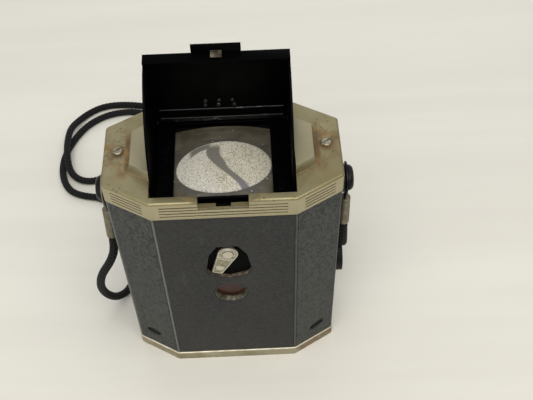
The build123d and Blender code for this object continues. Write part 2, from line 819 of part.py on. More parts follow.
# ---------------------------------------------------------------- winding knob, shaft and bush
knob_inner = side_face + knob_stand
with BuildPart() as winding_knob:
    with BuildSketch(wall_plane((-1, 0), knob_inner)):
        with Locations((-takeup_y, takeup_z)):
            Circle(knob_radius)
            Circle(shaft_radius, mode=Mode.SUBTRACT)
            with PolarLocations(knob_radius, knob_flutes):
                Circle(0.4, mode=Mode.SUBTRACT)
    extrude(amount=knob_depth)
finish(winding_knob, "winding_knob")

with BuildPart() as winding_shaft:
    with BuildSketch(Plane.YZ.offset(-knob_inner - knob_depth)):
        with Locations((takeup_y, takeup_z)):
            Circle(shaft_radius)
    extrude(amount=knob_inner + knob_depth - spool_half - 2 * seam)
    with BuildSketch(Plane.YZ.offset(-spool_half - 2 * seam)):
        with Locations((takeup_y, takeup_z)):
            Rectangle(2 * shaft_radius - 0.6, key_thick - 2 * running)
    extrude(amount=key_length)
finish(winding_shaft, "winding_shaft")

with BuildPart() as winding_bush:
    with BuildSketch(Plane.YZ.offset(-side_face)):
        with Locations((takeup_y, takeup_z)):
            Circle(bush_radius)
    extrude(amount=-0.9)
    with BuildSketch(Plane.YZ.offset(-side_face)):
        with Locations((takeup_y, takeup_z)):
            Circle(bush_radius - 1.5)
    extrude(amount=shell_wall)
    with BuildSketch(Plane.YZ.offset(-side_face - 1.0)):
        with Locations((takeup_y, takeup_z)):
            Circle(shaft_radius + running)
    extrude(amount=shell_wall + 2.0, mode=Mode.SUBTRACT)
finish(winding_bush, "winding_bush")

# ---------------------------------------------------------------- red window, blind and lever
pane_plane = wall_plane((0, 1), back_inside - pane_gap)
with BuildPart() as red_window:
    with BuildSketch(pane_plane):
        with Locations((0, axis_z)):
            Circle(red_pane_radius)
    extrude(amount=-pane_thick)
finish(red_window, "red_window")

with BuildPart() as window_ring:
    with BuildSketch(back_wall):
        with Locations((0, axis_z)):
            Circle(red_window_radius - running)
    extrude(amount=covering_thick)
    extrude(window_ring.faces().sort_by(Axis.Y)[0], amount=shell_wall)
    with BuildSketch(wall_plane((0, 1), back_inside)):
        with Locations((0, axis_z)):
            Circle(ring_inner)
    with BuildSketch(back_wall.offset(covering_thick)):
        with Locations((0, axis_z)):
            Circle(red_window_radius - 0.4)
    loft(mode=Mode.SUBTRACT)
finish(window_ring, "window_ring")

with BuildPart() as lever_plate:
    with BuildSketch(pane_plane):
        with Locations((0, (lever_pivot_z + axis_z + red_pane_radius) / 2 + 3)):
            Rectangle(25.0, lever_pivot_z - axis_z - red_pane_radius + 5)
        with Locations((0, lever_pivot_z)):
            Circle(rivet_radius + running, mode=Mode.SUBTRACT)
    extrude(amount=-pane_thick)
finish(lever_plate, "lever_plate")

lever_turn = math.radians(back_lever_angle)
lever_end = (-back_lever_length * math.sin(lever_turn), lever_pivot_z - back_lever_length * math.cos(lever_turn))
lever_dot = (0.72 * lever_end[0], lever_pivot_z + 0.72 * (lever_end[1] - lever_pivot_z))
lever_plane = back_wall.offset(-0.9)
with BuildPart() as window_lever:
    with BuildSketch(lever_plane):
        with Locations((0, lever_pivot_z)):
            Circle(back_lever_wide)
        with Locations(lever_end):
            Rectangle(2 * back_lever_narrow, 0.6, rotation=-back_lever_angle)
        make_hull()
        with Locations((0, lever_pivot_z)):
            Circle(rivet_radius, mode=Mode.SUBTRACT)
    extrude(amount=back_lever_thick)
    with BuildSketch(lever_plane.offset(back_lever_thick)):
        with Locations(lever_dot):
            Circle(1.5)
    extrude(amount=0.5)
finish(window_lever, "window_lever")

blind_turn = 2 * lever_turn
blind_reach = lever_pivot_z - axis_z
blind_end = (-blind_reach * math.sin(blind_turn), lever_pivot_z - blind_reach * math.cos(blind_turn))
blind_plane = wall_plane((0, 1), back_inside - pane_gap - pane_thick - 0.35 - blind_thick)
with BuildPart() as window_blind:
    with BuildSketch(blind_plane):
        with Locations((0, lever_pivot_z)):
            Circle(blind_arm / 2)
        with Locations(blind_end):
            Circle(blind_arm / 2)
        make_hull()
        with Locations(blind_end):
            Circle(blind_radius)
        with Locations((0, lever_pivot_z)):
            Circle(rivet_radius, mode=Mode.SUBTRACT)
    extrude(amount=blind_thick)
finish(window_blind, "window_blind")

with BuildPart() as window_rivet:
    with BuildSketch(blind_plane):
        with Locations((0, lever_pivot_z)):
            Circle(rivet_radius)
    extrude(amount=back_face - 0.9 + back_lever_thick - blind_plane.origin.Y)
    with BuildSketch(lever_plane.offset(back_lever_thick)):
        with Locations((0, lever_pivot_z)):
            Circle(rivet_radius + 0.9)
    extrude(amount=0.6)
finish(window_rivet, "window_rivet")

# ---------------------------------------------------------------- base catches in the rear corner faces
for name, sign in {"back_left": 1, "back_right": -1}.items():
    normal, distance, middle, half = faces[name]
    tilt = -catch_tilt * sign
    with BuildPart() as catch:
        with BuildSketch(wall_plane(normal, distance + covering_thick - catch_sunk)):
            with Locations((catch_middle[name], catch_z)):
                SlotOverall(
                    catch_length - 2 * catch_clearance, catch_width - 2 * catch_clearance, rotation=tilt
                )
        extrude(amount=-(shell_wall + covering_thick - catch_sunk + seam))
        with BuildSketch(wall_plane(normal, distance - shell_wall - seam)):
            with Locations((catch_middle[name], catch_z)):
                Rectangle(catch_foot, 5.0)
        extrude(amount=-0.8)
    finish(catch, f"catch_{name}")

# ---------------------------------------------------------------- strap studs, clips and ferrules
collar_face = side_face + stud_collar_depth
clip_inner = collar_face + seam
ferrule_x = clip_inner + clip_plate / 2
cord_ends = {}
for side_name, side, swing in (("left", 1, left_swing), ("right", -1, right_swing)):
    with BuildPart() as stud:
        stud_plane = wall_plane((side, 0), side_face)
        with BuildSketch(stud_plane):
            with Locations((0, stud_z)):
                Circle(stud_collar)
        extrude(amount=stud_collar_depth)
        with BuildSketch(stud_plane.offset(stud_collar_depth)):
            with Locations((0, stud_z)):
                Circle(stud_neck)
        extrude(amount=clip_plate + 2 * seam)
        with BuildSketch(stud_plane.offset(stud_collar_depth + clip_plate + 2 * seam)):
            with Locations((0, stud_z)):
                Circle(stud_head)
        extrude(amount=stud_dome)
        fillet(stud.edges().sort_by(Axis.X)[-1 if side > 0 else 0], stud_dome - 0.3)
        with BuildSketch(stud_plane):
            with Locations((0, stud_z)):
                Circle(stud_neck - 0.6)
        extrude(amount=-shell_wall)
    finish(stud, f"strap_stud_{side_name}")

    turn = math.radians(swing)
    clip_frame = Plane(
        origin=(side * clip_inner, 0, stud_z),
        x_dir=(0, side * math.cos(turn), side * math.sin(turn)),
        z_dir=(side, 0, 0),
    )
    with BuildPart() as clip:
        with BuildSketch(clip_frame):
            Circle(clip_eye)
            with Locations((0, -clip_tongue + 1.5)):
                Rectangle(4.4, 3.0)
            make_hull()
            Circle(stud_neck + 2 * running, mode=Mode.SUBTRACT)
        extrude(amount=clip_plate)
    finish(clip, f"strap_clip_{side_name}")

    ferrule_top = Plane(
        origin=clip_frame.origin - clip_frame.y_dir * clip_tongue + clip_frame.z_dir * clip_plate / 2,
        x_dir=clip_frame.x_dir,
        z_dir=-clip_frame.y_dir,
    )
    with BuildPart() as ferrule:
        with BuildSketch(ferrule_top):
            Circle(ferrule_radius)
        extrude(amount=ferrule_length)
    finish(ferrule, f"strap_ferrule_{side_name}")
    cord_ends[side_name] = (ferrule_top.origin + ferrule_top.z_dir * ferrule_length, ferrule_top.z_dir)
    print(side_name, "cord end and direction", cord_ends[side_name])

# ---------------------------------------------------------------- neck cord
# From the left ferrule down to the table, one and a half loose turns behind the body, and up to the right ferrule.
table = 2.05
left_end, left_aim = cord_ends["left"]
right_end, right_aim = cord_ends["right"]
left_start = left_end + left_aim * cord_straight
right_start = right_end + right_aim * cord_straight
route = [
    (left_end.X, left_end.Y, left_end.Z),
    (left_start.X, left_start.Y, left_start.Z),
    (55.8, 9.8, 63.5),
    (60.3, 9.5, 53.5),
    (63.0, 7.0, 41.5),
    (64.0, 2.5, 28.5),
    (63.0, -2.5, 16.0),
    (61.0, -8.0, 6.0),
    (56.5, -13.5, table),
    (53.5, -22.0, table),
    (52.5, -34.0, table),
    (54.5, -47.0, table),
    (59.5, -59.0, table),
    (66.5, -69.5, table),
    (75.5, -77.0, table),
    (86.0, -78.8, table),
    (94.0, -82.5, table),
    (99.0, -91.5, table),
    (100.6, -103.0, table),
    (98.8, -114.0, table),
    (95.0, -124.0, table),
    (89.5, -133.0, table),
    (82.0, -139.5, table),
    (73.0, -143.5, table),
    (61.0, -144.5, table),
    (49.0, -140.5, table),
    (39.5, -132.0, table),
    (34.0, -120.0, table),
    (35.0, -107.0, table),
    (43.0, -98.5, table),
    (54.5, -96.5, table),
    (67.0, -96.5, table),
    (79.5, -89.5, table),
    (88.2, -90.0, table),
    (95.0, -95.4, table + 1.0),
    (97.4, -105.5, table + 4.7),
    (98.4, -117.5, table + 4.7),
    (97.6, -128.5, table + 4.0),
    (94.0, -138.0, table + 0.8),
    (87.5, -145.5, table),
    (79.0, -150.0, table),
    (68.0, -150.8, table),
    (55.0, -149.0, table),
    (42.0, -145.0, table),
    (29.5, -137.0, table),
    (18.0, -127.0, table),
    (7.0, -116.5, table),
    (-3.5, -104.5, table),
    (-15.0, -92.0, table),
    (-26.5, -80.0, table),
    (-36.5, -68.5, table),
    (-44.0, -58.0, table),
    (-49.5, -47.5, 7.5),
    (-53.5, -40.5, 18.0),
    (-55.5, -33.5, 30.0),
    (-55.5, -25.5, 41.5),
    (-54.5, -15.5, 49.5),
    (-53.0, -4.5, 54.5),
    (-51.5, 3.5, 62.0),
    (right_start.X, right_start.Y, right_start.Z),
    (right_end.X, right_end.Y, right_end.Z),
]
runs = [math.dist(a, b) for a, b in zip(route, route[1:])]
bends = []
for before, here, after in zip(route, route[1:], route[2:]):
    come = Vector(*here) - Vector(*before)
    leave = Vector(*after) - Vector(*here)
    half_turn = math.radians(come.get_angle(leave)) / 2
    bends.append(0.45 * min(come.length, leave.length) / math.tan(half_turn))
with BuildPart() as neck_cord:
    with BuildLine() as path:
        FilletPolyline(*route, radius=bends)
    with BuildSketch(Plane(origin=path.line @ 0, z_dir=path.line % 0)):
        Circle(cord_radius)
    sweep()
finish(neck_cord, "neck_cord")
cord_length = sum(edge.length for edge in path.edges())
print("cord length", cord_length, "sharpest bend", min(bends), "longest run", max(runs))
print("cord volume share", neck_cord.part.volume / (math.pi * cord_radius**2 * cord_length))
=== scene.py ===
# %% [markdown]
# # A box camera with a folding hood
# The camera is a tin box with eight sides, covered in grained leather cloth. A cast cap and a
# cast foot close it, a black lid stands open over the finder on top, and a braided cord hangs
# from a stud on each side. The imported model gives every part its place, in metres, so this
# lesson only adds what a maker would call the finish.

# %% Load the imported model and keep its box
import itertools
import math
import bmesh
import bpy
import numpy as np
from mathutils import Matrix, Vector


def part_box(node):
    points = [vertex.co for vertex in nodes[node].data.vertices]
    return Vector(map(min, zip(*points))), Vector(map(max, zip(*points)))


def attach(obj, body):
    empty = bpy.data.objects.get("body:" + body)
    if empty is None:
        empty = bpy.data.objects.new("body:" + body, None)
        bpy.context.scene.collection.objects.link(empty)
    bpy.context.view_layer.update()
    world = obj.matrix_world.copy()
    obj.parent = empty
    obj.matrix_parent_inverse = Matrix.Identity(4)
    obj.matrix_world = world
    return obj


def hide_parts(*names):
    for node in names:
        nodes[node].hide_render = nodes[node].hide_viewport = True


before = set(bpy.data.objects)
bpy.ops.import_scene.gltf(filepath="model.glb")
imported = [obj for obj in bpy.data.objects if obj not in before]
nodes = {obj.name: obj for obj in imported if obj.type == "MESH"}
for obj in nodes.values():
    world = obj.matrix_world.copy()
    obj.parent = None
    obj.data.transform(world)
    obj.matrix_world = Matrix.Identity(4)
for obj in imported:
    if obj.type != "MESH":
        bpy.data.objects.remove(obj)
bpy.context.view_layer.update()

MM = 0.001

# %% [markdown]
# ## The viewpoint
# The view looks down on the back of the camera at about fifty degrees, from arm's length. A
# pinhole needs only a place, three turns and a focal length. The turns are yaw to the side,
# pitch down, and a small roll.

# %% Place the viewpoint
VIEW_PLACE = Vector((-13.2, 227.0, 382.6)) * MM
VIEW_YAW, VIEW_PITCH, VIEW_ROLL = (math.radians(a) for a in (1.02, 52.01, -1.68))
LENS_MM = 57.4


def view_matrix(place, yaw, pitch, roll):
    """Camera matrix for a viewer on the +Y side who looks towards -Y."""
    ahead = Vector((-math.sin(yaw) * math.cos(pitch), -math.cos(yaw) * math.cos(pitch), -math.sin(pitch)))
    level = Vector((-math.cos(yaw), math.sin(yaw), 0.0))
    above = level.cross(ahead)
    right = math.cos(roll) * level + math.sin(roll) * above
    up = -math.sin(roll) * level + math.cos(roll) * above
    turn = Matrix((right, up, -ahead)).transposed()
    return Matrix.Translation(place) @ turn.to_4x4()


viewer = bpy.data.objects.new("viewer", bpy.data.cameras.new("viewer"))
bpy.context.scene.collection.objects.link(viewer)
viewer.data.sensor_width = 36.0
viewer.data.lens = LENS_MM
viewer.data.clip_start = 0.01
viewer.matrix_world = view_matrix(VIEW_PLACE, VIEW_YAW, VIEW_PITCH, VIEW_ROLL)
bpy.context.scene.camera = viewer
print("viewer at", tuple(round(v, 3) for v in viewer.location))

# %% [markdown]
# ## The neck cord
# The cord is a braided tube about 4 mm thick. It leaves the left ferrule, drops to the table,
# lies there in a crossed loop in front of the lenses and climbs to the right ferrule. A NURBS line
# through listed control points gives the slack, even curve that a limp cord takes.

# %% Lay the cord's centre line
CORD_THICK = 4.0 * MM
TABLE = 2.05
CORD_ROUTE = [
    (51.0, 6.29, 79.772), (51.0, 8.225, 72.01), (54.3, 9.8, 64.0), (59.6, 9.5, 54.5),
    (62.8, 7.0, 42.5), (64.2, 2.5, 29.0), (63.4, -2.5, 16.0), (61.0, -8.0, 5.5),
    (56.5, -13.5, TABLE), (53.5, -22.0, TABLE), (52.5, -34.0, TABLE), (54.5, -47.0, TABLE),
    (59.5, -59.0, TABLE), (66.5, -69.5, TABLE), (75.5, -77.0, TABLE), (86.0, -78.8, TABLE),
    (94.0, -82.5, TABLE), (99.0, -91.5, TABLE), (100.6, -103.0, TABLE), (98.8, -114.0, TABLE),
    (95.0, -124.0, TABLE), (89.5, -133.0, TABLE), (82.0, -139.5, TABLE), (73.0, -143.5, TABLE),
    (61.0, -144.5, TABLE), (49.0, -140.5, TABLE), (39.5, -132.0, TABLE), (34.0, -120.0, TABLE),
    (35.0, -107.0, TABLE), (43.0, -98.5, TABLE), (54.5, -96.5, TABLE), (67.0, -96.5, TABLE),
    (79.5, -89.5, TABLE), (88.2, -90.0, TABLE), (95.0, -95.4, TABLE + 1.0),
    (97.4, -105.5, TABLE + 4.7), (98.4, -117.5, TABLE + 4.7), (97.6, -128.5, TABLE + 4.0),
    (94.0, -138.0, TABLE + 0.8), (87.5, -145.5, TABLE), (79.0, -150.0, TABLE),
    (68.0, -150.8, TABLE), (55.0, -149.0, TABLE), (42.0, -145.0, TABLE), (29.5, -137.0, TABLE),
    (18.0, -127.0, TABLE), (7.0, -116.5, TABLE), (-3.5, -104.5, TABLE), (-15.0, -92.0, TABLE),
    (-26.5, -80.0, TABLE), (-36.5, -68.5, TABLE), (-44.0, -58.0, TABLE), (-49.5, -47.5, 7.5),
    (-53.5, -40.5, 18.0), (-55.5, -33.5, 30.0), (-55.5, -25.5, 41.5), (-54.5, -15.5, 49.5),
    (-53.0, -4.5, 54.5), (-51.5, 3.5, 62.0), (-51.0, 4.732, 71.331), (-51.0, 3.6185, 79.253),
]


def smooth_line(name, points, resolution):
    """Points along the NURBS line that these control points pull on."""
    curve = bpy.data.curves.new(name, "CURVE")
    curve.dimensions = "3D"
    spline = curve.splines.new("NURBS")
    spline.points.add(len(points) - 1)
    for slot_point, point in zip(spline.points, points):
        slot_point.co = (*(Vector(point) * MM), 1.0)
    spline.order_u = 3
    spline.use_endpoint_u = True
    curve.resolution_u = resolution
    holder = bpy.data.objects.new(name, curve)
    mesh = bpy.data.meshes.new_from_object(holder)
    line = [v.co.copy() for v in mesh.vertices]
    bpy.data.objects.remove(holder)
    bpy.data.meshes.remove(mesh)
    return line


cord_line = smooth_line("cord_line", CORD_ROUTE, 40)
cord_steps = [(b - a).length for a, b in zip(cord_line, cord_line[1:])]
cord_length = sum(cord_steps)
print("cord centre line", round(cord_length, 4), "m in", len(cord_line), "points")

# %% [markdown]
# The braid is shaped in the mesh, and its cloth later adds painted light and shade to it. Rings
# of points stand round the centre line, and each point is lifted by a pattern of two crossing
# sets of strands, the way a braiding machine lays them. Even spacing along the line keeps the
# strands regular, so the line is stepped off first.

# %% Build the braided cord as a shaped tube
BRAID_RINGS_PER_M = 2100
BRAID_SIDES = 26
BRAID_STRANDS = 8
BRAID_PITCH = 9.0 * MM
BRAID_LIFT = 0.20 * MM


def even_points(line, count):
    """The same line, cut into equal steps."""
    points = np.array([tuple(p) for p in line])
    travelled = np.concatenate([[0.0], np.cumsum(np.linalg.norm(np.diff(points, axis=0), axis=1))])
    wanted = np.linspace(0.0, travelled[-1], count)
    return np.stack([np.interp(wanted, travelled, points[:, k]) for k in range(3)], axis=1), wanted


def carried_frames(points):
    """A side direction at each point, carried along so that it doesn't twist."""
    along = np.gradient(points, axis=0)
    along /= np.linalg.norm(along, axis=1, keepdims=True)
    side = np.cross(along[0], (0.3, 0.9, 0.1))
    side /= np.linalg.norm(side)
    sides = []
    for direction in along:
        side = side - direction * side.dot(direction)
        side /= np.linalg.norm(side)
        sides.append(side)
    sides = np.array(sides)
    return sides, np.cross(along, sides)


def new_piece(name, mesh):
    """Link a finished mesh as an object at the origin."""
    piece = bpy.data.objects.new(name, mesh)
    bpy.context.scene.collection.objects.link(piece)
    return piece


def braided_tube(name, line, radius):
    """Tube with a braid pressed into its surface, and UVs that run round and along it."""
    count = int(cord_length * BRAID_RINGS_PER_M)
    points, travelled = even_points(line, count)
    sides, ups = carried_frames(points)
    angle = np.arange(BRAID_SIDES) / BRAID_SIDES * 2 * math.pi
    turn = travelled[:, None] / BRAID_PITCH * 2 * math.pi
    left = np.cos(BRAID_STRANDS / 2 * (angle[None, :] + turn))
    right = np.cos(BRAID_STRANDS / 2 * (angle[None, :] - turn))
    lift = np.maximum(left, right) * BRAID_LIFT - BRAID_LIFT
    reach = (radius + lift)[:, :, None]
    ring = np.cos(angle)[None, :, None] * sides[:, None, :] + np.sin(angle)[None, :, None] * ups[:, None, :]
    verts = (points[:, None, :] + reach * ring).reshape(-1, 3)
    faces = []
    for i in range(count - 1):
        here, ahead = i * BRAID_SIDES, (i + 1) * BRAID_SIDES
        for j in range(BRAID_SIDES):
            k = (j + 1) % BRAID_SIDES
            faces.append((here + j, here + k, ahead + k, ahead + j))
    faces.append(tuple(reversed(range(BRAID_SIDES))))
    faces.append(tuple((count - 1) * BRAID_SIDES + j for j in range(BRAID_SIDES)))
    mesh = bpy.data.meshes.new(name)
    mesh.from_pydata(verts.tolist(), [], faces)
    mesh.polygons.foreach_set("use_smooth", [True] * len(mesh.polygons))
    layer = mesh.uv_layers.new(name="along")
    for polygon in mesh.polygons:
        for loop in polygon.loop_indices:
            row, column = divmod(mesh.loops[loop].vertex_index, BRAID_SIDES)
            layer.data[loop].uv = (travelled[row] / BRAID_PITCH, column / BRAID_SIDES)
    return new_piece(name, mesh), points


neck_cord, cord_points = braided_tube("neck_cord_braid", cord_line, CORD_THICK / 2)
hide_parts("neck_cord")
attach(neck_cord, "camera")
[tuple(p) for p in cord_points[::8]] + [tuple(cord_points[-1])]
print("braided cord", len(neck_cord.data.polygons), "faces")

# %% [markdown]
# ## Writing materials as sums
# A finish is a sum of small causes: a base colour, a stain here, a scratch there. Wiring dozens
# of nodes by hand hides that sum. This small class lets the lesson write it as Python maths, and
# one method makes every other kind of node.

# %% A socket that can be added and multiplied
class Value:
    """One number-valued socket. Operators on it add Math nodes."""

    def __init__(self, look, socket):
        self.look = look
        self.socket = socket

    def math(self, operation, *others):
        return self.look.node("ShaderNodeMath", {"operation": operation}, [self, *others])

    def __add__(self, other):
        return self.math("ADD", other)

    __radd__ = __add__

    def __sub__(self, other):
        return self.math("SUBTRACT", other)

    def __rsub__(self, other):
        return self.look.node("ShaderNodeMath", {"operation": "SUBTRACT"}, [other, self])

    def __mul__(self, other):
        return self.math("MULTIPLY", other)

    __rmul__ = __mul__

    def __truediv__(self, other):
        return self.math("DIVIDE", other)

    def __pow__(self, other):
        return self.math("POWER", other)

    def above(self, edge, width):
        """0 below the edge, 1 past it, with a soft step of that width."""
        low, high = edge - width / 2, edge + width / 2
        settings = {"interpolation_type": "SMOOTHSTEP"}
        return self.look.node("ShaderNodeMapRange", settings, [self, low, high, 0.0, 1.0])

    def below(self, edge, width):
        return 1 - self.above(edge, width)

    def clamped(self):
        return self.look.node("ShaderNodeClamp", {}, [self, 0.0, 1.0])


class Look:
    """One material and its nodes."""

    def __init__(self, name, **constants):
        self.material = bpy.data.materials.new(name)
        self.material.use_nodes = True
        self.tree = self.material.node_tree
        self.shader = self.tree.nodes["Principled BSDF"]
        for socket, value in constants.items():
            self.shader.inputs[socket.replace("_", " ")].default_value = value

    def plug(self, socket, value):
        """Give an input socket a link or a plain value."""
        if isinstance(value, Value):
            self.tree.links.new(value.socket, socket)
        elif isinstance(value, tuple) and len(value) == 3 and socket.type == "RGBA":
            socket.default_value = (*value, 1.0)
        else:
            socket.default_value = value

    def node(self, kind, settings=None, inputs=(), output=0):
        """Any node: its type, its settings, then its inputs by order or by name."""
        made = self.tree.nodes.new(kind)
        for name, value in (settings or {}).items():
            setattr(made, name, value)
        named = inputs.items() if isinstance(inputs, dict) else enumerate(inputs)
        for key, value in named:
            if value is not None:
                self.plug(made.inputs[key], value)
        return Value(self, made.outputs[output])

    def place(self):
        """Object coordinates: the part's own metres."""
        return self.node("ShaderNodeTexCoord", output="Object")

    def axes(self):
        """x, y and z of the surface, in millimetres."""
        split = self.node("ShaderNodeSeparateXYZ", {}, [self.place()])
        sockets = split.socket.node.outputs
        return [Value(self, sockets[k]) * 1000.0 for k in range(3)]

    def mapped(self, stretch, shift):
        """Object coordinates, moved and stretched for a pattern."""
        wanted = {"Vector": self.place(), "Location": (shift, shift, shift), "Scale": stretch}
        return self.node("ShaderNodeMapping", {}, wanted)

    def noise(self, scale, detail=3.0, rough=0.5, stretch=(1, 1, 1), shift=0.0):
        """Noise from 0 to 1 with features about 1/scale metres wide."""
        point = self.mapped(stretch, shift)
        settings = {"noise_dimensions": "3D", "normalize": True}
        wanted = {"Vector": point, "Scale": scale, "Detail": detail, "Roughness": rough}
        return self.node("ShaderNodeTexNoise", settings, wanted)

    def cells(self, scale):
        """Distance to the nearest of scattered points."""
        return self.node("ShaderNodeTexVoronoi", {"feature": "F1"}, {"Vector": self.place(), "Scale": scale})

    def blend(self, mask, first, second):
        """First colour where the mask is 0, second where it is 1."""
        made = self.tree.nodes.new("ShaderNodeMix")
        made.data_type = "RGBA"
        self.plug(made.inputs[0], mask)
        self.plug(made.inputs[6], first)
        self.plug(made.inputs[7], second)
        return Value(self, made.outputs[2])

    def bump(self, height, depth, strength=1.0, under=None):
        """Normal for a height pattern that is that many metres deep."""
        wanted = {"Height": height, "Distance": depth, "Strength": strength}
        if under is not None:
            wanted["Normal"] = under
        return self.node("ShaderNodeBump", {}, wanted)

    def set(self, **links):
        """Feed the shader's own sockets."""
        for name, value in links.items():
            self.plug(self.shader.inputs[name.replace("_", " ")], value)
        return self.material


print("material helpers ready")

# %% [markdown]
# ## Tarnished casting metal
# The cap and the foot are a nickel-plated casting, handled for decades. The plate has gone
# olive-brown, brightest on rounded edges, which hands polish and which also carry a painted
# highlight, and darkest in the grooves. Rust creeps out of the screw holes and along the foot of
# the raised middle. All of it follows from the shape, so each stain is a distance to a known feature.

# %% Sizes that the stains follow
SCREW_RISE = 1.2
SCREW_RADIUS = 2.15
SCREW_Y = -1.5
RIM_MARGIN = 10.0
WAIST_NORMAL = (0.512, 0.859)
WAIST_REACH = 27.7
cap_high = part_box("top_casting")[1]
screw_low, screw_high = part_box("top_screws")
RIM_TOP = screw_high.z * 1000 - SCREW_RISE
SCREW_X = (screw_high.x - screw_low.x) * 500 - SCREW_RADIUS
HALF_WIDTH = cap_high.x * 1000
HALF_DEPTH = cap_high.y * 1000
CORNER_X, CORNER_Y = 19.2, 11.1
PLATEAU_FOOT = HALF_WIDTH - RIM_MARGIN
NOTCH_HALF = 10.05
CORNER_LENGTH = math.hypot(CORNER_X, CORNER_Y)
CORNER_NORMAL = (CORNER_Y / CORNER_LENGTH, CORNER_X / CORNER_LENGTH)
CORNER_REACH = CORNER_NORMAL[0] * HALF_WIDTH + CORNER_NORMAL[1] * (HALF_DEPTH - CORNER_Y)
print("rim top", round(RIM_TOP, 2), "screws at", round(SCREW_X, 2))
print("half size", round(HALF_WIDTH, 2), round(HALF_DEPTH, 2))


# %% Cast metal
def depth_inside(x, y):
    """Millimetres inside the eight-sided outline; 0 on it."""
    across, along = x.math("ABSOLUTE"), y.math("ABSOLUTE")
    corner = CORNER_REACH - (across * CORNER_NORMAL[0] + along * CORNER_NORMAL[1])
    sides = (HALF_WIDTH - across).math("MINIMUM", HALF_DEPTH - along)
    return sides.math("MINIMUM", corner)


OLIVE, SILVER = (0.235, 0.21, 0.125), (0.32, 0.295, 0.195)
FOOT_OLIVE, FOOT_SILVER = (0.34, 0.31, 0.235), (0.52, 0.49, 0.41)


def cast_metal(base=False):
    look = Look("cast_nickel_foot" if base else "cast_nickel")
    x, y, z = look.axes()
    broad = look.noise(22.0, 4.0, 0.6)
    cloudy = look.noise(90.0, 5.0, 0.65, shift=3.0)
    fine = look.noise(1400.0, 2.0, 0.5)
    speck = look.cells(380.0).below(0.20, 0.10) * look.noise(45.0, 2.0, 0.5, shift=11.0).above(0.52, 0.15)
    olive, silver = (FOOT_OLIVE, FOOT_SILVER) if base else (OLIVE, SILVER)
    color = look.blend(broad.above(0.50, 0.30), olive, silver)
    color = look.blend(cloudy.above(0.56, 0.20) * 0.5, color, (0.20, 0.17, 0.085))
    color = look.blend(speck * 0.7, color, (0.075, 0.055, 0.025))
    wide, deep = x.math("ABSOLUTE"), y.math("ABSOLUTE")
    rust = look.blend(look.noise(300.0, 3.0).above(0.5, 0.3), (0.19, 0.105, 0.030), (0.085, 0.050, 0.018))
    if base:
        corner = look.noise(40.0, 4.0, 0.6, shift=4.0).above(0.55, 0.15) * x.below(-20.0, 30.0)
        stain = corner * 0.8
        groove = stain * 0.0
    else:
        inside = depth_inside(x, y)
        side_wall = z.below(RIM_TOP - 0.9, 0.5)
        groove = inside.above(0.16, 0.16) * side_wall * inside.below(2.0, 0.4)
        notch = wide.below(NOTCH_HALF, 0.3) * z.below(RIM_TOP - 1.2, 0.8)
        notch = notch * inside.above(0.15, 0.2) * y.above(20.0, 2.0)
        to_screw = ((wide - SCREW_X) ** 2.0 + (y - SCREW_Y) ** 2.0) ** 0.5
        foot = (wide - PLATEAU_FOOT).math("ABSOLUTE").below(1.3, 1.8) * deep.below(11.0, 5.0)
        to_waist = (wide * WAIST_NORMAL[0] + deep * WAIST_NORMAL[1] - WAIST_REACH).math("ABSOLUTE")
        waist = to_waist.below(0.9, 1.4) * deep.above(9.0, 2.0)
        ring = to_screw.below(3.4, 1.6) * to_screw.above(1.9, 0.8)
        blotch = look.noise(130.0, 4.0, 0.65, shift=6.0).above(0.50, 0.16)
        near = to_screw.below(8.5, 8.0) * blotch
        band = (wide - PLATEAU_FOOT - 1.6).math("ABSOLUTE").below(2.2, 3.0)
        band = band * deep.below(13.0, 5.0) * blotch
        drip = (wide - 45.0).math("ABSOLUTE").below(1.4, 1.6)
        drip = drip * (y + 1.0).math("ABSOLUTE").below(6.0, 4.0) * 0.5
        on_deck = z.above(RIM_TOP - 0.6, 0.4)
        stain = foot.math("MAXIMUM", waist * 0.6).math("MAXIMUM", ring).math("MAXIMUM", near * 0.8)
        stain = stain.math("MAXIMUM", band * 0.8).math("MAXIMUM", drip)
        stain = stain * on_deck * z.below(RIM_TOP + 0.8, 0.8)
        raised = z.above(RIM_TOP + 2.6, 1.0)
        color = look.blend(raised * 0.8, color, (0.40, 0.375, 0.28))
        color = look.blend(groove * 0.95, color, (0.055, 0.032, 0.012))
        color = look.blend(side_wall * inside.below(0.16, 0.12) * 0.8, color, (0.56, 0.52, 0.38))
        black = notch * look.cells(900.0).above(0.16, 0.12)
        color = look.blend(black, color, (0.008, 0.008, 0.007))
        groove = groove.math("MAXIMUM", notch)
    color = look.blend(0.36, color, (0.30, 0.245, 0.095))
    color = look.blend(stain * 0.92, color, rust)
    rough = 0.36 + broad * 0.10 + cloudy * 0.14 + stain * 0.35 + groove * 0.2
    relief = look.bump(fine, 0.00004, 0.5)
    relief = look.bump(cloudy, 0.00025, 0.35, relief)
    metal = 0.80 - stain * 0.7 - groove * 0.75
    return look.set(Base_Color=color, Roughness=rough.clamped(), Metallic=metal.clamped(), Normal=relief)


# Bevel faces of the casting: polished metal, made pale as a painted highlight along the edges.
def polished_edge_and_highlight():
    look = Look("cast_nickel_edge")
    cloudy = look.noise(260.0, 4.0, 0.6)
    color = look.blend(cloudy.above(0.5, 0.3), (0.72, 0.68, 0.55), (0.50, 0.46, 0.33))
    return look.set(Base_Color=color, Roughness=0.26 + cloudy * 0.2, Metallic=0.75)


CAST = cast_metal()
CAST_FOOT = cast_metal(base=True)
CAST_EDGE = polished_edge_and_highlight()
print("cast metal ready")

# %% [markdown]
# ## Grained leather cloth
# The box is covered in paper-backed cloth, pressed with a fine pebble grain and dyed charcoal.
# Grain is a bump of small cells at half a millimetre; wear is paler and smoother patches. The
# slanted corner faces are painted lighter as painted light, and a dark oval of painted shade
# sits round each catch.

# %% Leather cloth
# Half size and slope of the oval of painted shade round each catch.
CATCH_SHADE_HALF = (4.3, 2.9)
CATCH_SHADE_SLOPE = 0.22


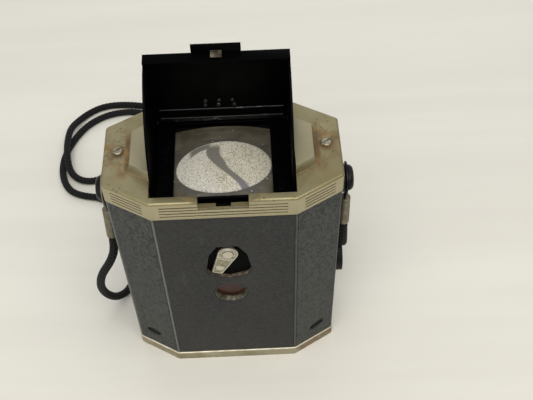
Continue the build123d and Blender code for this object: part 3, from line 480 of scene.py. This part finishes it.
def leather_cloth():
    look = Look("leather_cloth", Specular_IOR_Level=0.27)
    x, y, z = look.axes()
    cells = look.cells(1500.0)
    pebble = look.noise(620.0, 3.0, 0.65, shift=1.0)
    fine = look.noise(3200.0, 2.0, 0.6)
    broad = look.noise(30.0, 4.0, 0.6)
    scuff = look.noise(75.0, 6.0, 0.7, stretch=(1, 1, 0.35), shift=7.0).above(0.64, 0.10)
    reach = x.math("ABSOLUTE") * CORNER_NORMAL[0] + y.math("ABSOLUTE") * CORNER_NORMAL[1]
    corner = reach.above(CORNER_REACH - 0.8, 0.3)
    color = look.blend(broad.above(0.5, 0.4), (0.0195, 0.0197, 0.0195), (0.0250, 0.0252, 0.0243))
    # The slanted corner faces are painted lighter, with more pale pebble tops: painted light on the faces
    # that catch the lamp.
    color = look.blend(corner * 0.60, color, (0.052, 0.055, 0.049))
    color = look.blend(pebble.above(0.52, 0.16) * (corner * 0.36 + 0.14), color, (0.080, 0.083, 0.076))
    color = look.blend(pebble.below(0.42, 0.12) * (corner * 0.35 + 0.2), color, (0.010, 0.010, 0.010))
    color = look.blend(cells.below(0.25, 0.3) * 0.16, color, (0.060, 0.061, 0.057))
    color = look.blend(scuff * 0.13, color, (0.09, 0.09, 0.085))
    # A dark oval round each catch is painted shade, standing for the shade in the catch's recess.
    for side, turn in (("left", -1.0), ("right", 1.0)):
        low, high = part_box("catch_back_" + side)
        middle = (low + high) * 500.0
        along = (x - middle.x) * CORNER_NORMAL[1] + (y - middle.y) * CORNER_NORMAL[0] * turn
        height = z - middle.z + along * CATCH_SHADE_SLOPE
        painted_catch_shade = ((along / CATCH_SHADE_HALF[0]) ** 2.0 + (height / CATCH_SHADE_HALF[1]) ** 2.0).below(1.0, 0.15)
        painted_catch_shade = painted_catch_shade * y.above(0.0, 1.0)
        color = look.blend(painted_catch_shade * 0.93, color, (0.004, 0.004, 0.004))
    grain = look.bump(1 - cells, 0.00016, 0.75)
    grain = look.bump(pebble, 0.00020, 0.6, grain)
    grain = look.bump(fine, 0.00005, 0.5, grain)
    rough = 0.52 + broad * 0.12 + fine * 0.08 - scuff * 0.08
    return look.set(Base_Color=color, Roughness=rough, Normal=grain)


LEATHER = leather_cloth()
print("leather cloth ready")

# %% [markdown]
# ## Black enamel
# The hood and everything inside the finder are sprayed with glossy black enamel. Old enamel
# carries dust and a soft orange-peel that bends reflections. Faint streaks that run up and down
# roughen the gloss, and their paler colour is painted reflection.

# %% Enamel
def enamel(name, depth, gloss, dust_and_sheen, coat):
    look = Look(name, Coat_IOR=1.45, Coat_Roughness=0.12, Specular_IOR_Level=0.02)
    streak = look.noise(420.0, 3.0, 0.55, stretch=(1, 1, 0.05), shift=3.0)
    peel = look.noise(420.0, 2.0, 0.5)
    dust = look.cells(900.0).below(0.09, 0.04) * look.noise(60.0, 3.0, 0.6, shift=5.0).above(0.54, 0.1)
    sheen_streak_area = look.noise(35.0, 2.0, 0.5, stretch=(1, 1, 0.4), shift=8.0).above(0.5, 0.2)
    painted_streak_sheen = streak.above(0.60, 0.12) * sheen_streak_area
    color = look.blend(dust * dust_and_sheen, depth, (0.25, 0.24, 0.22))
    # Paler streaks up and down are painted reflection of the lamps in the gloss.
    color = look.blend(painted_streak_sheen * 0.35 * dust_and_sheen, color, (0.06, 0.06, 0.062))
    rough = gloss + streak * 0.14 + dust * 0.4
    return look.set(Base_Color=color, Roughness=rough.clamped(), Coat_Weight=(coat - dust * coat).clamped(),
                    Normal=look.bump(peel, 0.00005, 0.25))


ENAMEL = enamel("black_enamel", (0.0010, 0.0011, 0.0011), 0.26, 0.10, 0.012)
ENAMEL_DULL = enamel("black_enamel_dull", (0.004, 0.004, 0.004), 0.5, 0.15, 0.0)
print("enamel ready")


# %% [markdown]
# ## Small metal parts, glass and cord
# Screws, rings and levers are nickel plate with fine scratches. The clips and ferrules are brass
# gone dull. The red window is dyed celluloid under a clear gloss. The cord is dyed cotton, with
# painted light on the crowns of its strands and painted shade between them.

# %% Nickel, brass and steel
def plated(name, bright, dark, rough_low, scratch=900.0):
    look = Look(name)
    cloudy = look.noise(320.0, 5.0, 0.65)
    scratches = look.noise(scratch, 2.0, 0.5, stretch=(1, 0.06, 1))
    color = look.blend(cloudy.above(0.5, 0.4), bright, dark)
    rough = rough_low + cloudy * 0.18 + scratches * 0.1
    relief = look.bump(scratches, 0.00002, 0.5)
    metal = 0.92 - cloudy.above(0.62, 0.2) * 0.3
    return look.set(Base_Color=color, Roughness=rough, Metallic=metal, Normal=relief)


NICKEL = plated("worn_nickel", (0.42, 0.39, 0.30), (0.20, 0.17, 0.10), 0.30)
NICKEL_WARM = plated("worn_nickel_warm", (0.50, 0.47, 0.38), (0.30, 0.265, 0.17), 0.34)
BRASS = plated("dull_brass", (0.27, 0.25, 0.185), (0.17, 0.15, 0.10), 0.42)
DULL_CLIP = plated("dull_clip", (0.15, 0.135, 0.09), (0.035, 0.03, 0.02), 0.42, 500.0)
STEEL = plated("brushed_steel", (0.48, 0.48, 0.47), (0.30, 0.30, 0.29), 0.28)


# %% Shell tin
FAN_HALF = 10.5
FAN_FOOT = (70.0, 76.5)


def shell_tin():
    """Black enamel, worn to brown metal on the cut edge under the lever."""
    look = Look("shell_enamel", Specular_IOR_Level=0.4)
    x, y, z = look.axes()
    cut = x.math("ABSOLUTE").below(FAN_HALF, 1.0) * y.above(20.0, 2.0)
    cut = cut * z.below(FAN_FOOT[1], 1.0) * z.above(FAN_FOOT[0], 1.0)
    worn = look.noise(600.0, 4.0, 0.7)
    brown = look.blend(worn.above(0.5, 0.2), (0.11, 0.08, 0.05), (0.25, 0.21, 0.15))
    color = look.blend(cut, (0.012, 0.012, 0.012), brown)
    return look.set(Base_Color=color, Roughness=0.45 + worn * 0.2, Metallic=cut * 0.6)


SHELL_TIN = shell_tin()
print("shell tin ready")


# %% Celluloid, knob black, glass and silvering
def red_celluloid():
    look = Look("red_celluloid", Coat_Weight=0.22, Coat_Roughness=0.10, Specular_IOR_Level=0.15)
    cloudy = look.noise(180.0, 4.0, 0.6)
    color = look.blend(cloudy.above(0.5, 0.4), (0.026, 0.006, 0.004), (0.050, 0.014, 0.008))
    return look.set(Base_Color=color, Roughness=0.25 + cloudy * 0.15)


def knob_black():
    look = Look("knob_black", Coat_Weight=0.06, Specular_IOR_Level=0.12)
    worn = look.noise(300.0, 4.0, 0.6)
    color = look.blend(worn.above(0.6, 0.2), (0.006, 0.006, 0.006), (0.03, 0.03, 0.028))
    return look.set(Base_Color=color, Roughness=0.28 + worn * 0.15)


def clear_glass():
    look = Look("coated_glass", Transmission_Weight=0.85, IOR=1.5, Coat_Weight=0.5)
    haze = look.noise(200.0, 3.0, 0.6)
    color = look.blend(haze, (0.85, 0.87, 0.86), (0.70, 0.74, 0.80))
    return look.set(Base_Color=color, Roughness=0.03 + haze * 0.05)


def silvering():
    look = Look("silvering", Metallic=1.0)
    spots = look.cells(300.0).below(0.18, 0.1)
    color = look.blend(spots, (0.8, 0.8, 0.78), (0.25, 0.22, 0.18))
    return look.set(Base_Color=color, Roughness=0.06 + spots * 0.4)


def ring_finish():
    """Black paint on the ring's flat face, worn metal inside its throat."""
    look = Look("ring_paint")
    x, z = look.axes()[::2]
    radius = (x ** 2.0 + (z - WINDOW_Z) ** 2.0) ** 0.5
    throat = radius.below(RING_THROAT, 0.5)
    worn = look.noise(700.0, 4.0, 0.7)
    metal = look.blend(worn.above(0.5, 0.3), (0.17, 0.155, 0.11), (0.045, 0.04, 0.027))
    color = look.blend(throat, (0.02, 0.02, 0.019), metal)
    return look.set(Base_Color=color, Roughness=0.42 + worn * 0.2, Metallic=throat * 0.7)


RING_THROAT = 7.05
WINDOW_Z = (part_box("red_window")[0].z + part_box("red_window")[1].z) * 500
RING = ring_finish()
RED = red_celluloid()
KNOB = knob_black()
GLASS = clear_glass()
MIRROR = silvering()


# %% Cord cotton
def cord_cotton():
    look = Look("cord_cotton", Sheen_Weight=0.06, Sheen_Roughness=0.5, Specular_IOR_Level=0.12)
    point = look.node("ShaderNodeUVMap", {"uv_map": "along"})
    split = look.node("ShaderNodeSeparateXYZ", {}, [point])
    along, around = (Value(look, split.socket.node.outputs[k]) for k in range(2))
    half = BRAID_STRANDS / 2 * 2 * math.pi
    left = ((around * half) + along * half).math("COSINE")
    right = ((around * half) - along * half).math("COSINE")
    painted_crown_light = left.math("MAXIMUM", right)
    fluff = look.noise(2600.0, 3.0, 0.7)
    # Crowns of the braid painted lighter and the hollows between strands darker: painted light and shade.
    color = look.blend(painted_crown_light.above(0.55, 0.8), (0.0035, 0.0036, 0.0034), (0.014, 0.0148, 0.0138))
    color = look.blend(fluff.above(0.62, 0.15) * 0.3, color, (0.045, 0.046, 0.043))
    return look.set(Base_Color=color, Roughness=0.78 + fluff * 0.15, Normal=look.bump(fluff, 0.00008, 0.6))


CORD = cord_cotton()
neck_cord.data.materials.append(CORD)
print("small finishes ready")

# %% [markdown]
# ## The finder's field lens
# Looking down, the eye sees the round front lens as a bright oval in the field lens. That oval is
# painted light on the lens, mottled by mould on the old glass, with a painted grey band of shadow
# across it. Round it the lens carries a painted view of the dim, brown inside of the finder. The
# oval lies on the lens itself, so it keeps its place from any side.

# %% Field lens finish
OVAL_MIDDLE = (-0.3, 3.8)
OVAL_HALF = (19.3, 13.1)
OVAL_TILT = math.radians(4.7)
BAND_LINE = (0.0033, -0.0661, -0.629, 4.37)
BAND_TOP = -5.0
SPUR_MIDDLE, SPUR_REACH = 9.3, 4.2


def field_lens():
    look = Look("field_lens", Coat_Weight=0.5, Coat_Roughness=0.04, Specular_IOR_Level=0.3)
    x, y = look.axes()[:2]
    dx, dy = x - OVAL_MIDDLE[0], y - OVAL_MIDDLE[1]
    cos_t, sin_t = math.cos(OVAL_TILT), math.sin(OVAL_TILT)
    across = (dx * cos_t + dy * sin_t) / OVAL_HALF[0]
    along = (dy * cos_t - dx * sin_t) / OVAL_HALF[1]
    radius = (across * across + along * along) ** 0.5
    oval = radius.below(1.0, 0.03)
    coarse = look.noise(1450.0, 3.0, 0.75)
    grit = look.noise(3100.0, 2.0, 0.8, shift=2.0)
    patch = look.noise(70.0, 2.0, 0.5, shift=9.0).above(0.55, 0.25)
    # The oval is painted light from the front lens, mottled by mould on the glass.
    painted_oval_light = look.blend(coarse.above(0.45, 0.12), (0.29, 0.27, 0.215), (0.62, 0.58, 0.46))
    painted_oval_light = look.blend(patch * 0.5, painted_oval_light, (0.66, 0.64, 0.58))
    painted_oval_light = look.blend(grit.above(0.56, 0.06) * 0.85, painted_oval_light, (0.10, 0.092, 0.072))
    cubic, square, slope, start = BAND_LINE
    lower = y.math("MAXIMUM", BAND_TOP)
    upper = y.below(3.5, 7.0)
    middle = ((lower * cubic + square) * lower + slope) * lower + start - upper * 1.5
    half = 1.7 + upper * 1.0
    offset = (x - middle).math("ABSOLUTE")
    band = (offset - half).below(0.0, 1.0) * y.above(-7.0, 3.0)
    spur = (radius - 0.90).math("ABSOLUTE").below(0.085, 0.04)
    spur = spur * (x - SPUR_MIDDLE).math("ABSOLUTE").below(SPUR_REACH, 2.0) * y.below(2.0, 1.0)
    # The band and the spur are painted shadow across the oval.
    shadow = band.math("MAXIMUM", spur)
    grey = look.blend(coarse, (0.11, 0.105, 0.085), (0.20, 0.19, 0.16))
    painted_oval_light = look.blend(shadow, painted_oval_light, look.blend((y - 11.0).below(0.0, 4.0), (0.15, 0.14, 0.155), grey))
    # Round the oval, a painted view of the dim brown finder inside, with painted glints.
    dim = look.blend(look.noise(110.0, 4.0, 0.6).above(0.5, 0.3), (0.062, 0.052, 0.034), (0.10, 0.088, 0.062))
    dim = look.blend(radius.below(1.16, 0.22) * 0.55, dim, (0.062, 0.064, 0.060))
    smear = look.noise(420.0, 3.0, 0.6, stretch=(0.2, 1, 1), shift=12.0)
    dim = look.blend(smear.above(0.58, 0.15) * 0.5, dim, (0.13, 0.115, 0.085))
    glint = look.cells(330.0).below(0.07, 0.03) * look.noise(50.0, 2.0, 0.5, shift=14.0).above(0.5, 0.1)
    dim = look.blend(glint * 0.9, dim, (0.75, 0.72, 0.62))
    color = look.blend(oval, dim, painted_oval_light)
    return look.set(Base_Color=color, Roughness=0.40 + grit * 0.25)


FIELD = field_lens()
print("field lens ready")

# %% [markdown]
# ## Softening the parts
# Pressed tin and castings have no razor edges. A copy of each visible part is welded, its flat
# faces are joined, and a Bevel modifier rounds what is left. The narrow bevel can carry its own
# material, which is how edges polished by handling get their bright line, partly a painted highlight.

# %% Weld, join and bevel a copy of a part
BEVEL_SEGMENTS = 2
BEVEL_ANGLE = math.radians(28.0)


def softened(node, body, material, width, edge):
    """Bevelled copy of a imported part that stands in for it."""
    mesh = nodes[node].data.copy()
    mesh.materials.clear()
    mesh.materials.append(material)
    if edge is not None:
        mesh.materials.append(edge)
    shape = bmesh.new()
    shape.from_mesh(mesh)
    bmesh.ops.remove_doubles(shape, verts=shape.verts, dist=1e-6)
    bmesh.ops.dissolve_limit(shape, angle_limit=math.radians(0.5), verts=shape.verts, edges=shape.edges)
    for face in shape.faces:
        face.material_index = 0
        face.smooth = True
    shape.to_mesh(mesh)
    shape.free()
    piece = new_piece(node + "_finished", mesh)
    bevel = piece.modifiers.new("soft_edges", "BEVEL")
    bevel.width = width * MM
    bevel.segments = BEVEL_SEGMENTS
    bevel.limit_method = "ANGLE"
    bevel.angle_limit = BEVEL_ANGLE
    bevel.use_clamp_overlap = True
    bevel.harden_normals = True
    if edge is not None:
        bevel.material = 1
    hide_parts(node)
    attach(piece, body)


SOFTENED = {
    "top_casting": ("camera", CAST, 0.30, CAST_EDGE),
    "base_casting": ("camera", CAST_FOOT, 0.40, CAST_EDGE),
    "body_shell": ("camera", SHELL_TIN, 0.25, None),
    "hood_lid": ("hood", ENAMEL, 0.25, None),
    "hood_clip": ("hood", DULL_CLIP, 0.12, None),
    "finder_mask": ("camera", ENAMEL, 0.25, None),
    "front_plate": ("camera", NICKEL_WARM, 0.25, CAST_EDGE),
    "shutter_housing": ("camera", ENAMEL, 0.35, None),
    "lens_bezel": ("camera", NICKEL, 0.2, None),
    "viewing_ring": ("camera", NICKEL, 0.2, None),
    "window_ring": ("camera", RING, 0.12, None),
    "lever_plate": ("camera", ENAMEL_DULL, 0.1, None),
    "winding_knob": ("winding", KNOB, 0.12, None),
    "top_screws": ("camera", NICKEL, 0.12, None),
    "catch_back_left": ("catch_left", ENAMEL_DULL, 0.15, None),
    "catch_back_right": ("catch_right", ENAMEL_DULL, 0.15, None),
    "release_lever": ("release", NICKEL, 0.2, None),
}
for side in ("left", "right"):
    SOFTENED[f"strap_stud_{side}"] = ("camera", KNOB, 0.3, None)
    SOFTENED[f"strap_clip_{side}"] = ("camera", KNOB if side == "right" else BRASS, 0.2, None)
    SOFTENED[f"strap_ferrule_{side}"] = ("camera", BRASS, 0.3, None)
SHEETS = ("back", "front", "left", "right", "back_left", "back_right", "front_left", "front_right")
for face in SHEETS:
    SOFTENED[f"covering_{face}"] = ("camera", LEATHER, 0.28, None)
for node, (body, material, width, edge) in SOFTENED.items():
    softened(node, body, material, width, edge)
print("softened", len(SOFTENED), "parts")

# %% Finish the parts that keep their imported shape
def dress(name, material):
    """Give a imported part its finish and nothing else."""
    nodes[name].data.materials.clear()
    nodes[name].data.materials.append(material)


KEPT = {
    ENAMEL_DULL: ["finder_box", "light_box", "film_carrier", "pressure_plate", "stop_plate",
                  "window_blind"],
    STEEL: ["winding_shaft", "guide_bar", "supply_pin_left", "supply_pin_right", "takeup_pin_left",
            "shutter_spring", "shutter_disc", "hood_pins", "release_pin", "winding_bush", "tripod_bush"],
    ENAMEL: ["supply_spool", "takeup_spool"],
    GLASS: ["viewing_lens", "taking_lens"],
    FIELD: ["finder_lens"],
    MIRROR: ["finder_mirror"],
    RED: ["red_window"],
}
for material, names in KEPT.items():
    for name in names:
        dress(name, material)
print("kept", sum(len(names) for names in KEPT.values()), "packed parts")

# %% [markdown]
# ## Beads and ridges with Geometry Nodes
# Many small features here are one profile swept along a path: the rounded corner posts between
# the leather sheets, the rolled lip under them, the raised lines cast on the lever. One Geometry
# Nodes tree does them all. It turns bare edges into a curve, sweeps a small circle along it and
# gives it a material. The tree is built once, and each piece only sets its own sizes.

# %% Build the bead tree
def node_tree(name, inputs):
    """Empty Geometry Nodes tree with the given named inputs."""
    tree = bpy.data.node_groups.new(name, "GeometryNodeTree")
    tree.interface.new_socket("Geometry", in_out="INPUT", socket_type="NodeSocketGeometry")
    for label, kind in inputs:
        tree.interface.new_socket(label, in_out="INPUT", socket_type=kind)
    tree.interface.new_socket("Geometry", in_out="OUTPUT", socket_type="NodeSocketGeometry")
    return tree, tree.nodes.new("NodeGroupInput").outputs, tree.nodes.new("NodeGroupOutput").inputs


def chain(tree, source, steps):
    """Link geometry through nodes in turn. A step is a type and its other sockets."""
    for kind, sockets in steps:
        made = tree.nodes.new(kind)
        for label, value in sockets.items():
            if isinstance(value, bpy.types.NodeSocket):
                tree.links.new(value, made.inputs[label])
            else:
                made.inputs[label].default_value = value
        first = next(k for k in made.inputs if k.type == "GEOMETRY" and not k.is_linked)
        tree.links.new(source, first)
        source = made.outputs[0]
    return source


def bead_tree():
    kinds = [("Radius", "NodeSocketFloat"), ("Sides", "NodeSocketInt"), ("Finish", "NodeSocketMaterial")]
    tree, given, result = node_tree("bead_on_path", kinds)
    circle = tree.nodes.new("GeometryNodeCurvePrimitiveCircle")
    tree.links.new(given["Radius"], circle.inputs["Radius"])
    tree.links.new(given["Sides"], circle.inputs["Resolution"])
    swept = chain(tree, given["Geometry"], [("GeometryNodeMeshToCurve", {})])
    sweep = tree.nodes.new("GeometryNodeCurveToMesh")
    tree.links.new(swept, sweep.inputs["Curve"])
    tree.links.new(circle.outputs["Curve"], sweep.inputs["Profile Curve"])
    sweep.inputs["Fill Caps"].default_value = True
    ended = chain(tree, sweep.outputs["Mesh"], [
        ("GeometryNodeSetShadeSmooth", {}),
        ("GeometryNodeRealizeInstances", {}),
        ("GeometryNodeSetMaterial", {"Material": given["Finish"]}),
    ])
    tree.links.new(ended, result["Geometry"])
    return tree


def grow(name, tree, points, runs, body, slot, **sizes):
    """Run a tree on bare points and edges, in millimetres, and keep the plain mesh."""
    mesh = bpy.data.meshes.new(name)
    mesh.from_pydata([tuple(Vector(point) * MM) for point in points], runs, [])
    seed = new_piece(name + "_path", mesh)
    modifier = seed.modifiers.new("grow", "NODES")
    modifier.node_group = tree
    for item in tree.interface.items_tree:
        if item.in_out == "INPUT" and item.name in sizes:
            modifier[item.identifier] = sizes[item.name]
    made = bpy.data.meshes.new_from_object(seed.evaluated_get(bpy.context.evaluated_depsgraph_get()))
    bpy.data.objects.remove(seed)
    piece = new_piece(name, made)
    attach(piece, body)
    return piece


def loop_runs(first, count, closed):
    """Edges that join count points in a row, starting at first."""
    runs = [(first + k, first + k + 1) for k in range(count - 1)]
    return runs + [(first + count - 1, first)] if closed else runs


BEADS = bead_tree()
print("bead tree has", len(BEADS.nodes), "nodes")


# %% Corner posts and rolled lip of the shell
def worn_post_painted_light():
    look = Look("worn_post_painted_light", Specular_IOR_Level=0.6)
    worn = look.noise(240.0, 4.0, 0.65)
    painted_light_left = look.axes()[0].above(2.0, 4.0)
    color = look.blend(worn.above(0.5, 0.3), (0.020, 0.021, 0.020), (0.040, 0.042, 0.039))
    # Posts on the left side are painted paler: a painted highlight, on top of the worn patches.
    color = look.blend(painted_light_left * (worn * 0.5 + 0.5), color, (0.13, 0.135, 0.125))
    return look.set(Base_Color=color, Roughness=0.36 + worn * 0.2)


POST = worn_post_painted_light()
SHELL_INSET = 1.0
POST_RADIUS = 0.62
LIP_RADIUS = 0.5
LIP_SPREAD = 1.004
shell_far_x, shell_far_y = HALF_WIDTH - SHELL_INSET, HALF_DEPTH - SHELL_INSET
shell_reach = CORNER_REACH - SHELL_INSET
post_y = (shell_reach - CORNER_NORMAL[0] * shell_far_x) / CORNER_NORMAL[1]
post_x = (shell_reach - CORNER_NORMAL[1] * shell_far_y) / CORNER_NORMAL[0]
shell_low, shell_high = (corner.z * 1000 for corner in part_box("body_shell"))
quarter = [(shell_far_x, post_y), (post_x, shell_far_y)]
outline = quarter + [(-x, y) for x, y in reversed(quarter)]
outline += [(-x, -y) for x, y in outline]
post_points = [(x, y, z) for x, y in outline for z in (shell_low + 0.8, shell_high - 0.6)]
post_runs = [(2 * k, 2 * k + 1) for k in range(len(outline))]
grow("corner_posts", BEADS, post_points, post_runs, "camera", "shell",
     Radius=POST_RADIUS * MM, Sides=12, Finish=POST)
lip_points = [(x * LIP_SPREAD, y * LIP_SPREAD, shell_low + 0.55) for x, y in outline]
grow("rolled_lip", BEADS, lip_points, loop_runs(0, len(outline), True), "camera", "shell",
     Radius=LIP_RADIUS * MM, Sides=10, Finish=POST)
print("corner posts at", [round(v, 1) for v in quarter[0]], [round(v, 1) for v in quarter[1]])

# %% [markdown]
# ## Raised lines on the lever
# The lever that covers the frame window is a casting. Its edge stands up as a thin rim, a round
# boss sits on the pivot, two bars cross below it, and a ring marks the place for the thumb. In
# the lever's own directions, down its length and across it, these are plain arcs and lines.

# %% Lever ridges
LEVER_PIVOT = (0.0, 88.8)
LEVER_FACE = 25.42
LEVER_TURN = math.radians(21.4)
LEVER_WIDE, LEVER_NARROW, LEVER_LONG = 4.3, 2.35, 14.5
LEVER_RIM = 0.34


def on_lever(down, across):
    """A point on the lever's face, down its length and across it."""
    x = LEVER_PIVOT[0] + down * math.sin(LEVER_TURN) + across * math.cos(LEVER_TURN)
    z = LEVER_PIVOT[1] - down * math.cos(LEVER_TURN) + across * math.sin(LEVER_TURN)
    return (x, LEVER_FACE, z)


def arc(down, radius, start, stop, count):
    """Points on an arc about a place down the lever; 0 degrees points down its length."""
    angles = [math.radians(start + (stop - start) * k / (count - 1)) for k in range(count)]
    return [on_lever(down + radius * math.cos(a), radius * math.sin(a)) for a in angles]


taper = math.degrees(math.asin((LEVER_WIDE - LEVER_NARROW) / LEVER_LONG))
edge_wide, edge_narrow = LEVER_WIDE - LEVER_RIM, LEVER_NARROW - LEVER_RIM
strokes = [
    (arc(0.0, edge_wide, 90 - taper, 270 + taper, 25)
     + [on_lever(LEVER_LONG - 0.1, -edge_narrow), on_lever(LEVER_LONG - 0.1, edge_narrow)], True),
    (arc(0.0, 2.95, 75, 285, 19), False),
    ([on_lever(2.9, -3.4), on_lever(2.9, 3.4)], False),
    ([on_lever(4.1, -3.1), on_lever(4.1, 3.1)], False),
    (arc(10.4, 1.62, -140, 140, 21), False),
]
lever_points, lever_runs = [], []
for stroke, closed in strokes:
    lever_runs += loop_runs(len(lever_points), len(stroke), closed)
    lever_points += stroke


def lever_metal():
    look = Look("cast_lever")
    worn = look.noise(520.0, 4.0, 0.7)
    raised = look.axes()[1].above(LEVER_FACE + 0.12, 0.12)
    color = look.blend(worn.above(0.5, 0.3), (0.36, 0.335, 0.25), (0.24, 0.215, 0.145))
    color = look.blend(raised, color, (0.56, 0.53, 0.42))
    return look.set(Base_Color=color, Roughness=0.34 + worn * 0.2, Metallic=0.65,
                    Normal=look.bump(worn, 0.00008, 0.5))


LEVER_METAL = lever_metal()
grow("lever_ridges", BEADS, lever_points, lever_runs, "window", "bright_nickel",
     Radius=LEVER_RIM * MM, Sides=8, Finish=LEVER_METAL)
for name in ("window_lever", "window_rivet"):
    dress(name, LEVER_METAL)
print("lever rim points", len(lever_points))

# %% [markdown]
# ## Pressed features inside the hood
# The lid is one sheet with a hinge leaf along its foot, a shallow crease above it and two rows of
# three small dimples. They catch thin lines of light that break up the black. All of them
# ride on the hood, so they are placed in the lid's own directions: across, up the lid, and in.

# %% Hood leaf, crease and dimples
HINGE = (-20.5, 121.5)
LID_OPEN = math.radians(83.0)
LID_FACE = 0.3


def on_lid(across, up, inward=0.0):
    """A point on the inner face of the lid as it stands open."""
    out = LID_FACE - inward
    y = HINGE[0] + up * math.cos(LID_OPEN) - out * math.sin(LID_OPEN)
    z = HINGE[1] + up * math.sin(LID_OPEN) + out * math.cos(LID_OPEN)
    return (across, y, z)


def strip_on_lid(name, half, foot, head, thick, soft, material):
    """A flat strip across the lid with softened edges."""
    places = itertools.product((0.0, thick), (foot, head), (-half, half))
    corners = [on_lid(x, up, inward) for inward, up, x in places]
    shape = bmesh.new()
    verts = [shape.verts.new(Vector(corner) * MM) for corner in corners]
    for ring in ((0, 1, 3, 2), (4, 6, 7, 5), (0, 4, 5, 1), (2, 3, 7, 6), (0, 2, 6, 4), (1, 5, 7, 3)):
        shape.faces.new([verts[k] for k in ring])
    bmesh.ops.recalc_face_normals(shape, faces=shape.faces)
    bmesh.ops.bevel(shape, geom=shape.edges, offset=soft * MM, segments=BEVEL_SEGMENTS,
                    affect="EDGES", profile=0.5)
    mesh = bpy.data.meshes.new(name)
    shape.to_mesh(mesh)
    shape.free()
    mesh.materials.append(material)
    piece = new_piece(name, mesh)
    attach(piece, "hood")


def scuffed_enamel():
    look = Look("scuffed_enamel", Coat_Roughness=0.12, Coat_Weight=0.25, Specular_IOR_Level=0.3)
    worn = look.noise(500.0, 5.0, 0.75, stretch=(0.3, 1, 1))
    color = look.blend(worn.above(0.60, 0.10), (0.003, 0.003, 0.003), (0.14, 0.135, 0.12))
    return look.set(Base_Color=color, Roughness=0.30 + worn * 0.25)


SCUFFED = scuffed_enamel()
CREASE_RADIUS = 0.42
DIMPLE_RADIUS = 1.1
strip_on_lid("hinge_leaf", half=25.7, foot=0.5, head=3.0, thick=0.55, soft=0.18, material=SCUFFED)
crease = [on_lid(x, 7.9, -0.15) for x in (-25.6, 25.6)]
grow("lid_crease", BEADS, crease, [(0, 1)], "hood", "black_enamel",
     Radius=CREASE_RADIUS * MM, Sides=12, Finish=SCUFFED)


def dimple_tree():
    kinds = [("Radius", "NodeSocketFloat"), ("Flatten", "NodeSocketVector"), ("Turn", "NodeSocketVector"),
             ("Finish", "NodeSocketMaterial")]
    tree, given, result = node_tree("dimples_on_points", kinds)
    ball = tree.nodes.new("GeometryNodeMeshUVSphere")
    ball.inputs["Segments"].default_value = 20
    ball.inputs["Rings"].default_value = 10
    tree.links.new(given["Radius"], ball.inputs["Radius"])
    pressed = chain(tree, ball.outputs["Mesh"], [
        ("GeometryNodeSetShadeSmooth", {}),
        ("GeometryNodeTransform", {"Scale": given["Flatten"], "Rotation": given["Turn"]}),
    ])
    placed = tree.nodes.new("GeometryNodeInstanceOnPoints")
    tree.links.new(given["Geometry"], placed.inputs["Points"])
    tree.links.new(pressed, placed.inputs["Instance"])
    ended = chain(tree, placed.outputs["Instances"], [
        ("GeometryNodeRealizeInstances", {}),
        ("GeometryNodeSetMaterial", {"Material": given["Finish"]}),
    ])
    tree.links.new(ended, result["Geometry"])
    return tree


dimple_places = [on_lid(x, 13.3) for x in (6.1, 0.6, -4.9)]
small_places = [on_lid(x, 10.4) for x in (6.4, 0.9, -5.6)]
grow("lid_dimples", dimple_tree(), dimple_places + small_places, [], "hood", "black_enamel",
     Radius=DIMPLE_RADIUS * MM, Flatten=(1.0, 1.0, 0.55), Turn=(LID_OPEN, 0.0, 0.0), Finish=SCUFFED)
print("hood details ready")

# %% [markdown]
# ## Floor and light
# A pale, slightly warm table top takes the soft shadow. One broad lamp hangs overhead on the
# viewer's side. Two weaker ones fill in, one from the viewer's left and one from the far side.

# %% Table top
def table_finish():
    look = Look("table_top", Roughness=0.55)
    grain = look.noise(9.0, 4.0, 0.6, stretch=(0.25, 3.0, 1))
    color = look.blend(grain.above(0.5, 0.5), (0.66, 0.635, 0.56), (0.71, 0.69, 0.61))
    return look.set(Base_Color=color)


FLOOR_HALF = 3.0
floor_mesh = bpy.data.meshes.new("table_top")
floor_corners = [(FLOOR_HALF * x, FLOOR_HALF * y, 0) for x, y in ((-1, -1), (1, -1), (1, 1), (-1, 1))]
floor_mesh.from_pydata(floor_corners, [], [(0, 1, 2, 3)])
floor = new_piece("table_top", floor_mesh)
floor.data.materials.append(table_finish())


# %% Lamps and sky
LAMP_AIM = Vector((0, 0, 0.06))
SKY_COLOR = (0.93, 0.95, 1.0, 1.0)
SKY_STRENGTH = 0.50


def lamp(name, place, size, power, color=(1.0, 1.0, 1.0)):
    data = bpy.data.lights.new(name, "AREA")
    data.shape = "RECTANGLE"
    data.size, data.size_y = size
    data.energy = power
    data.color = color
    light = bpy.data.objects.new(name, data)
    light.location = place
    light.rotation_euler = (LAMP_AIM - Vector(place)).to_track_quat("-Z", "Y").to_euler()
    bpy.context.scene.collection.objects.link(light)


lamp("broad_overhead", (-0.12, 0.42, 1.25), (1.3, 1.0), 13.5, (1.0, 0.975, 0.93))
lamp("viewer_fill", (0.75, 1.0, 0.8), (1.2, 1.2), 3.0)
lamp("far_fill", (0.1, -1.3, 0.9), (1.4, 0.8), 3.0, (0.97, 0.98, 1.0))
world = bpy.data.worlds.new("studio")
world.use_nodes = True
world.node_tree.nodes["Background"].inputs["Color"].default_value = SKY_COLOR
world.node_tree.nodes["Background"].inputs["Strength"].default_value = SKY_STRENGTH
bpy.context.scene.world = world
bpy.context.scene.view_settings.view_transform = "Standard"
print("studio ready")
